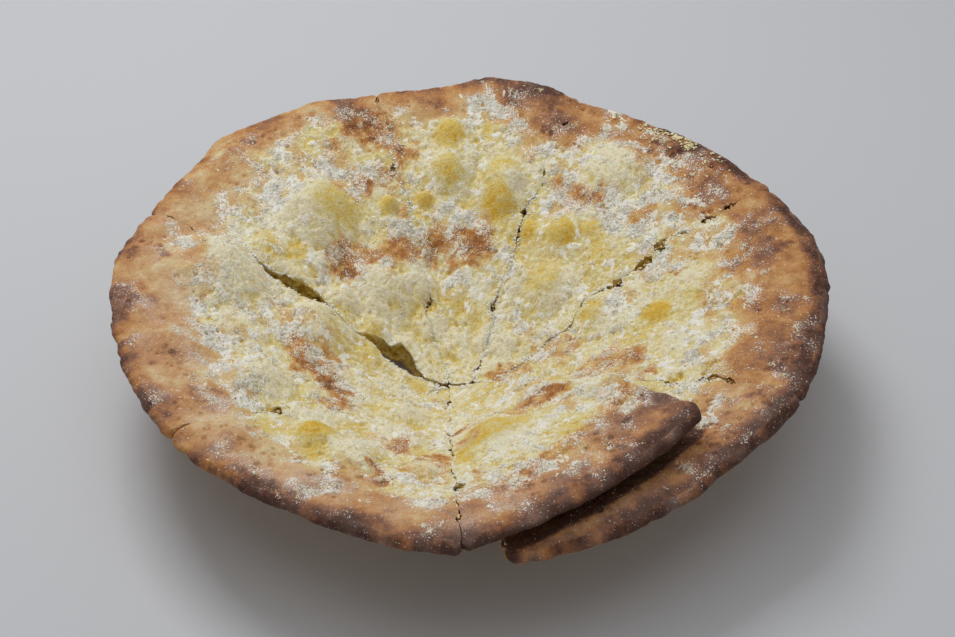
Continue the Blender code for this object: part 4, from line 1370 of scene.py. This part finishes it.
def toned_lumps(draw, name, places, size, squash, material):
    """Lumps with a random tone each."""
    vertices, faces, per_bit = lumps(draw, places, size, squash)
    tone = np.repeat(draw.uniform(0, 1, len(places)), per_bit)
    new_piece(name, vertices, faces, {"tone": tone}, material)


def drop(tops, draw, name, plan, size, stops):
    """Lumps dropped onto the tops at given places."""
    rows = []
    for x, y in plan:
        heights = [hit.z for hit in (from_above(tree, x, y) for tree in tops.trees) if hit]
        rows += [(x, y, max(heights))] if heights else []
    places = np.array(rows, float) + np.array((0, 0, 0.25))
    toned_lumps(draw, name, places, size, 0.6, scattered_material(name, stops))


# ---------------------------------------------------------------- stage
def floor():
    mesh = bpy.data.meshes.new("floor")
    corners = [(x * FLOOR_HALF, y * FLOOR_HALF, 0) for x, y in ((-1, -1), (1, -1), (1, 1), (-1, 1))]
    mesh.from_pydata(corners, [], [(0, 1, 2, 3)])
    plane = bpy.data.objects.new("floor", mesh)
    plane.location.z = cad_low.z - FLOOR_GAP
    scene.collection.objects.link(plane)
    material = bpy.data.materials.new("floor_pale")
    material.use_nodes = True
    shader = material.node_tree.nodes["Principled BSDF"]
    shader.inputs["Base Color"].default_value = colour(*FLOOR_COLOUR)
    shader.inputs["Roughness"].default_value = 0.9
    mesh.materials.append(material)


def soft_light(name, place, size, power):
    """A square soft light that points at the bread."""
    data = bpy.data.lights.new(name, "AREA")
    data.size = size
    data.energy = power
    light = bpy.data.objects.new(name, data)
    light.location = place
    light.rotation_euler = (Vector(LIGHTS_AIM) - Vector(place)).to_track_quat("-Z", "Y").to_euler()
    scene.collection.objects.link(light)


def lights():
    for name, place, size, power in LIGHTS:
        soft_light(name, place, size, power)
    world = bpy.data.worlds.new("studio")
    world.use_nodes = True
    background = world.node_tree.nodes["Background"]
    background.inputs["Color"].default_value = (1, 1, 1, 1)
    background.inputs["Strength"].default_value = WORLD_LIGHT
    scene.world = world


def camera():
    data = bpy.data.cameras.new("camera")
    data.lens = CAMERA_LENS
    data.sensor_width = CAMERA_SENSOR
    view = bpy.data.objects.new("camera", data)
    view.location = CAMERA_PLACE
    view.rotation_euler = (math.radians(CAMERA_TILT), 0, 0)
    scene.collection.objects.link(view)
    bpy.context.scene.camera = view
    scene.view_settings.view_transform = "Standard"


# ---------------------------------------------------------------- the whole scene
draw = np.random.default_rng(SEED)
bread = bread_material()
tops = Tops()
fills = []
for name, first_cut, last_cut in WEDGES:
    wedge = Wedge(name, first_cut, last_cut)
    vertices, faces, masks, top_looks, top_face_count, cut_places, fill = wedge_arrays(wedge, draw)
    top_vertex_count = len(top_looks["toast"])
    piece = new_piece(name + "_baked", vertices, faces, masks, bread)
    sharpen(piece.data, cut_places)
    fills.append(fill)
    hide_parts(name)
    tops.add(wedge, vertices[:top_vertex_count], faces[:top_face_count], top_looks)
    print(f"{name}: {len(faces)} triangles")
tops.close()
scatter(tops, np.concatenate(fills), draw)
floor()
lights()
camera()
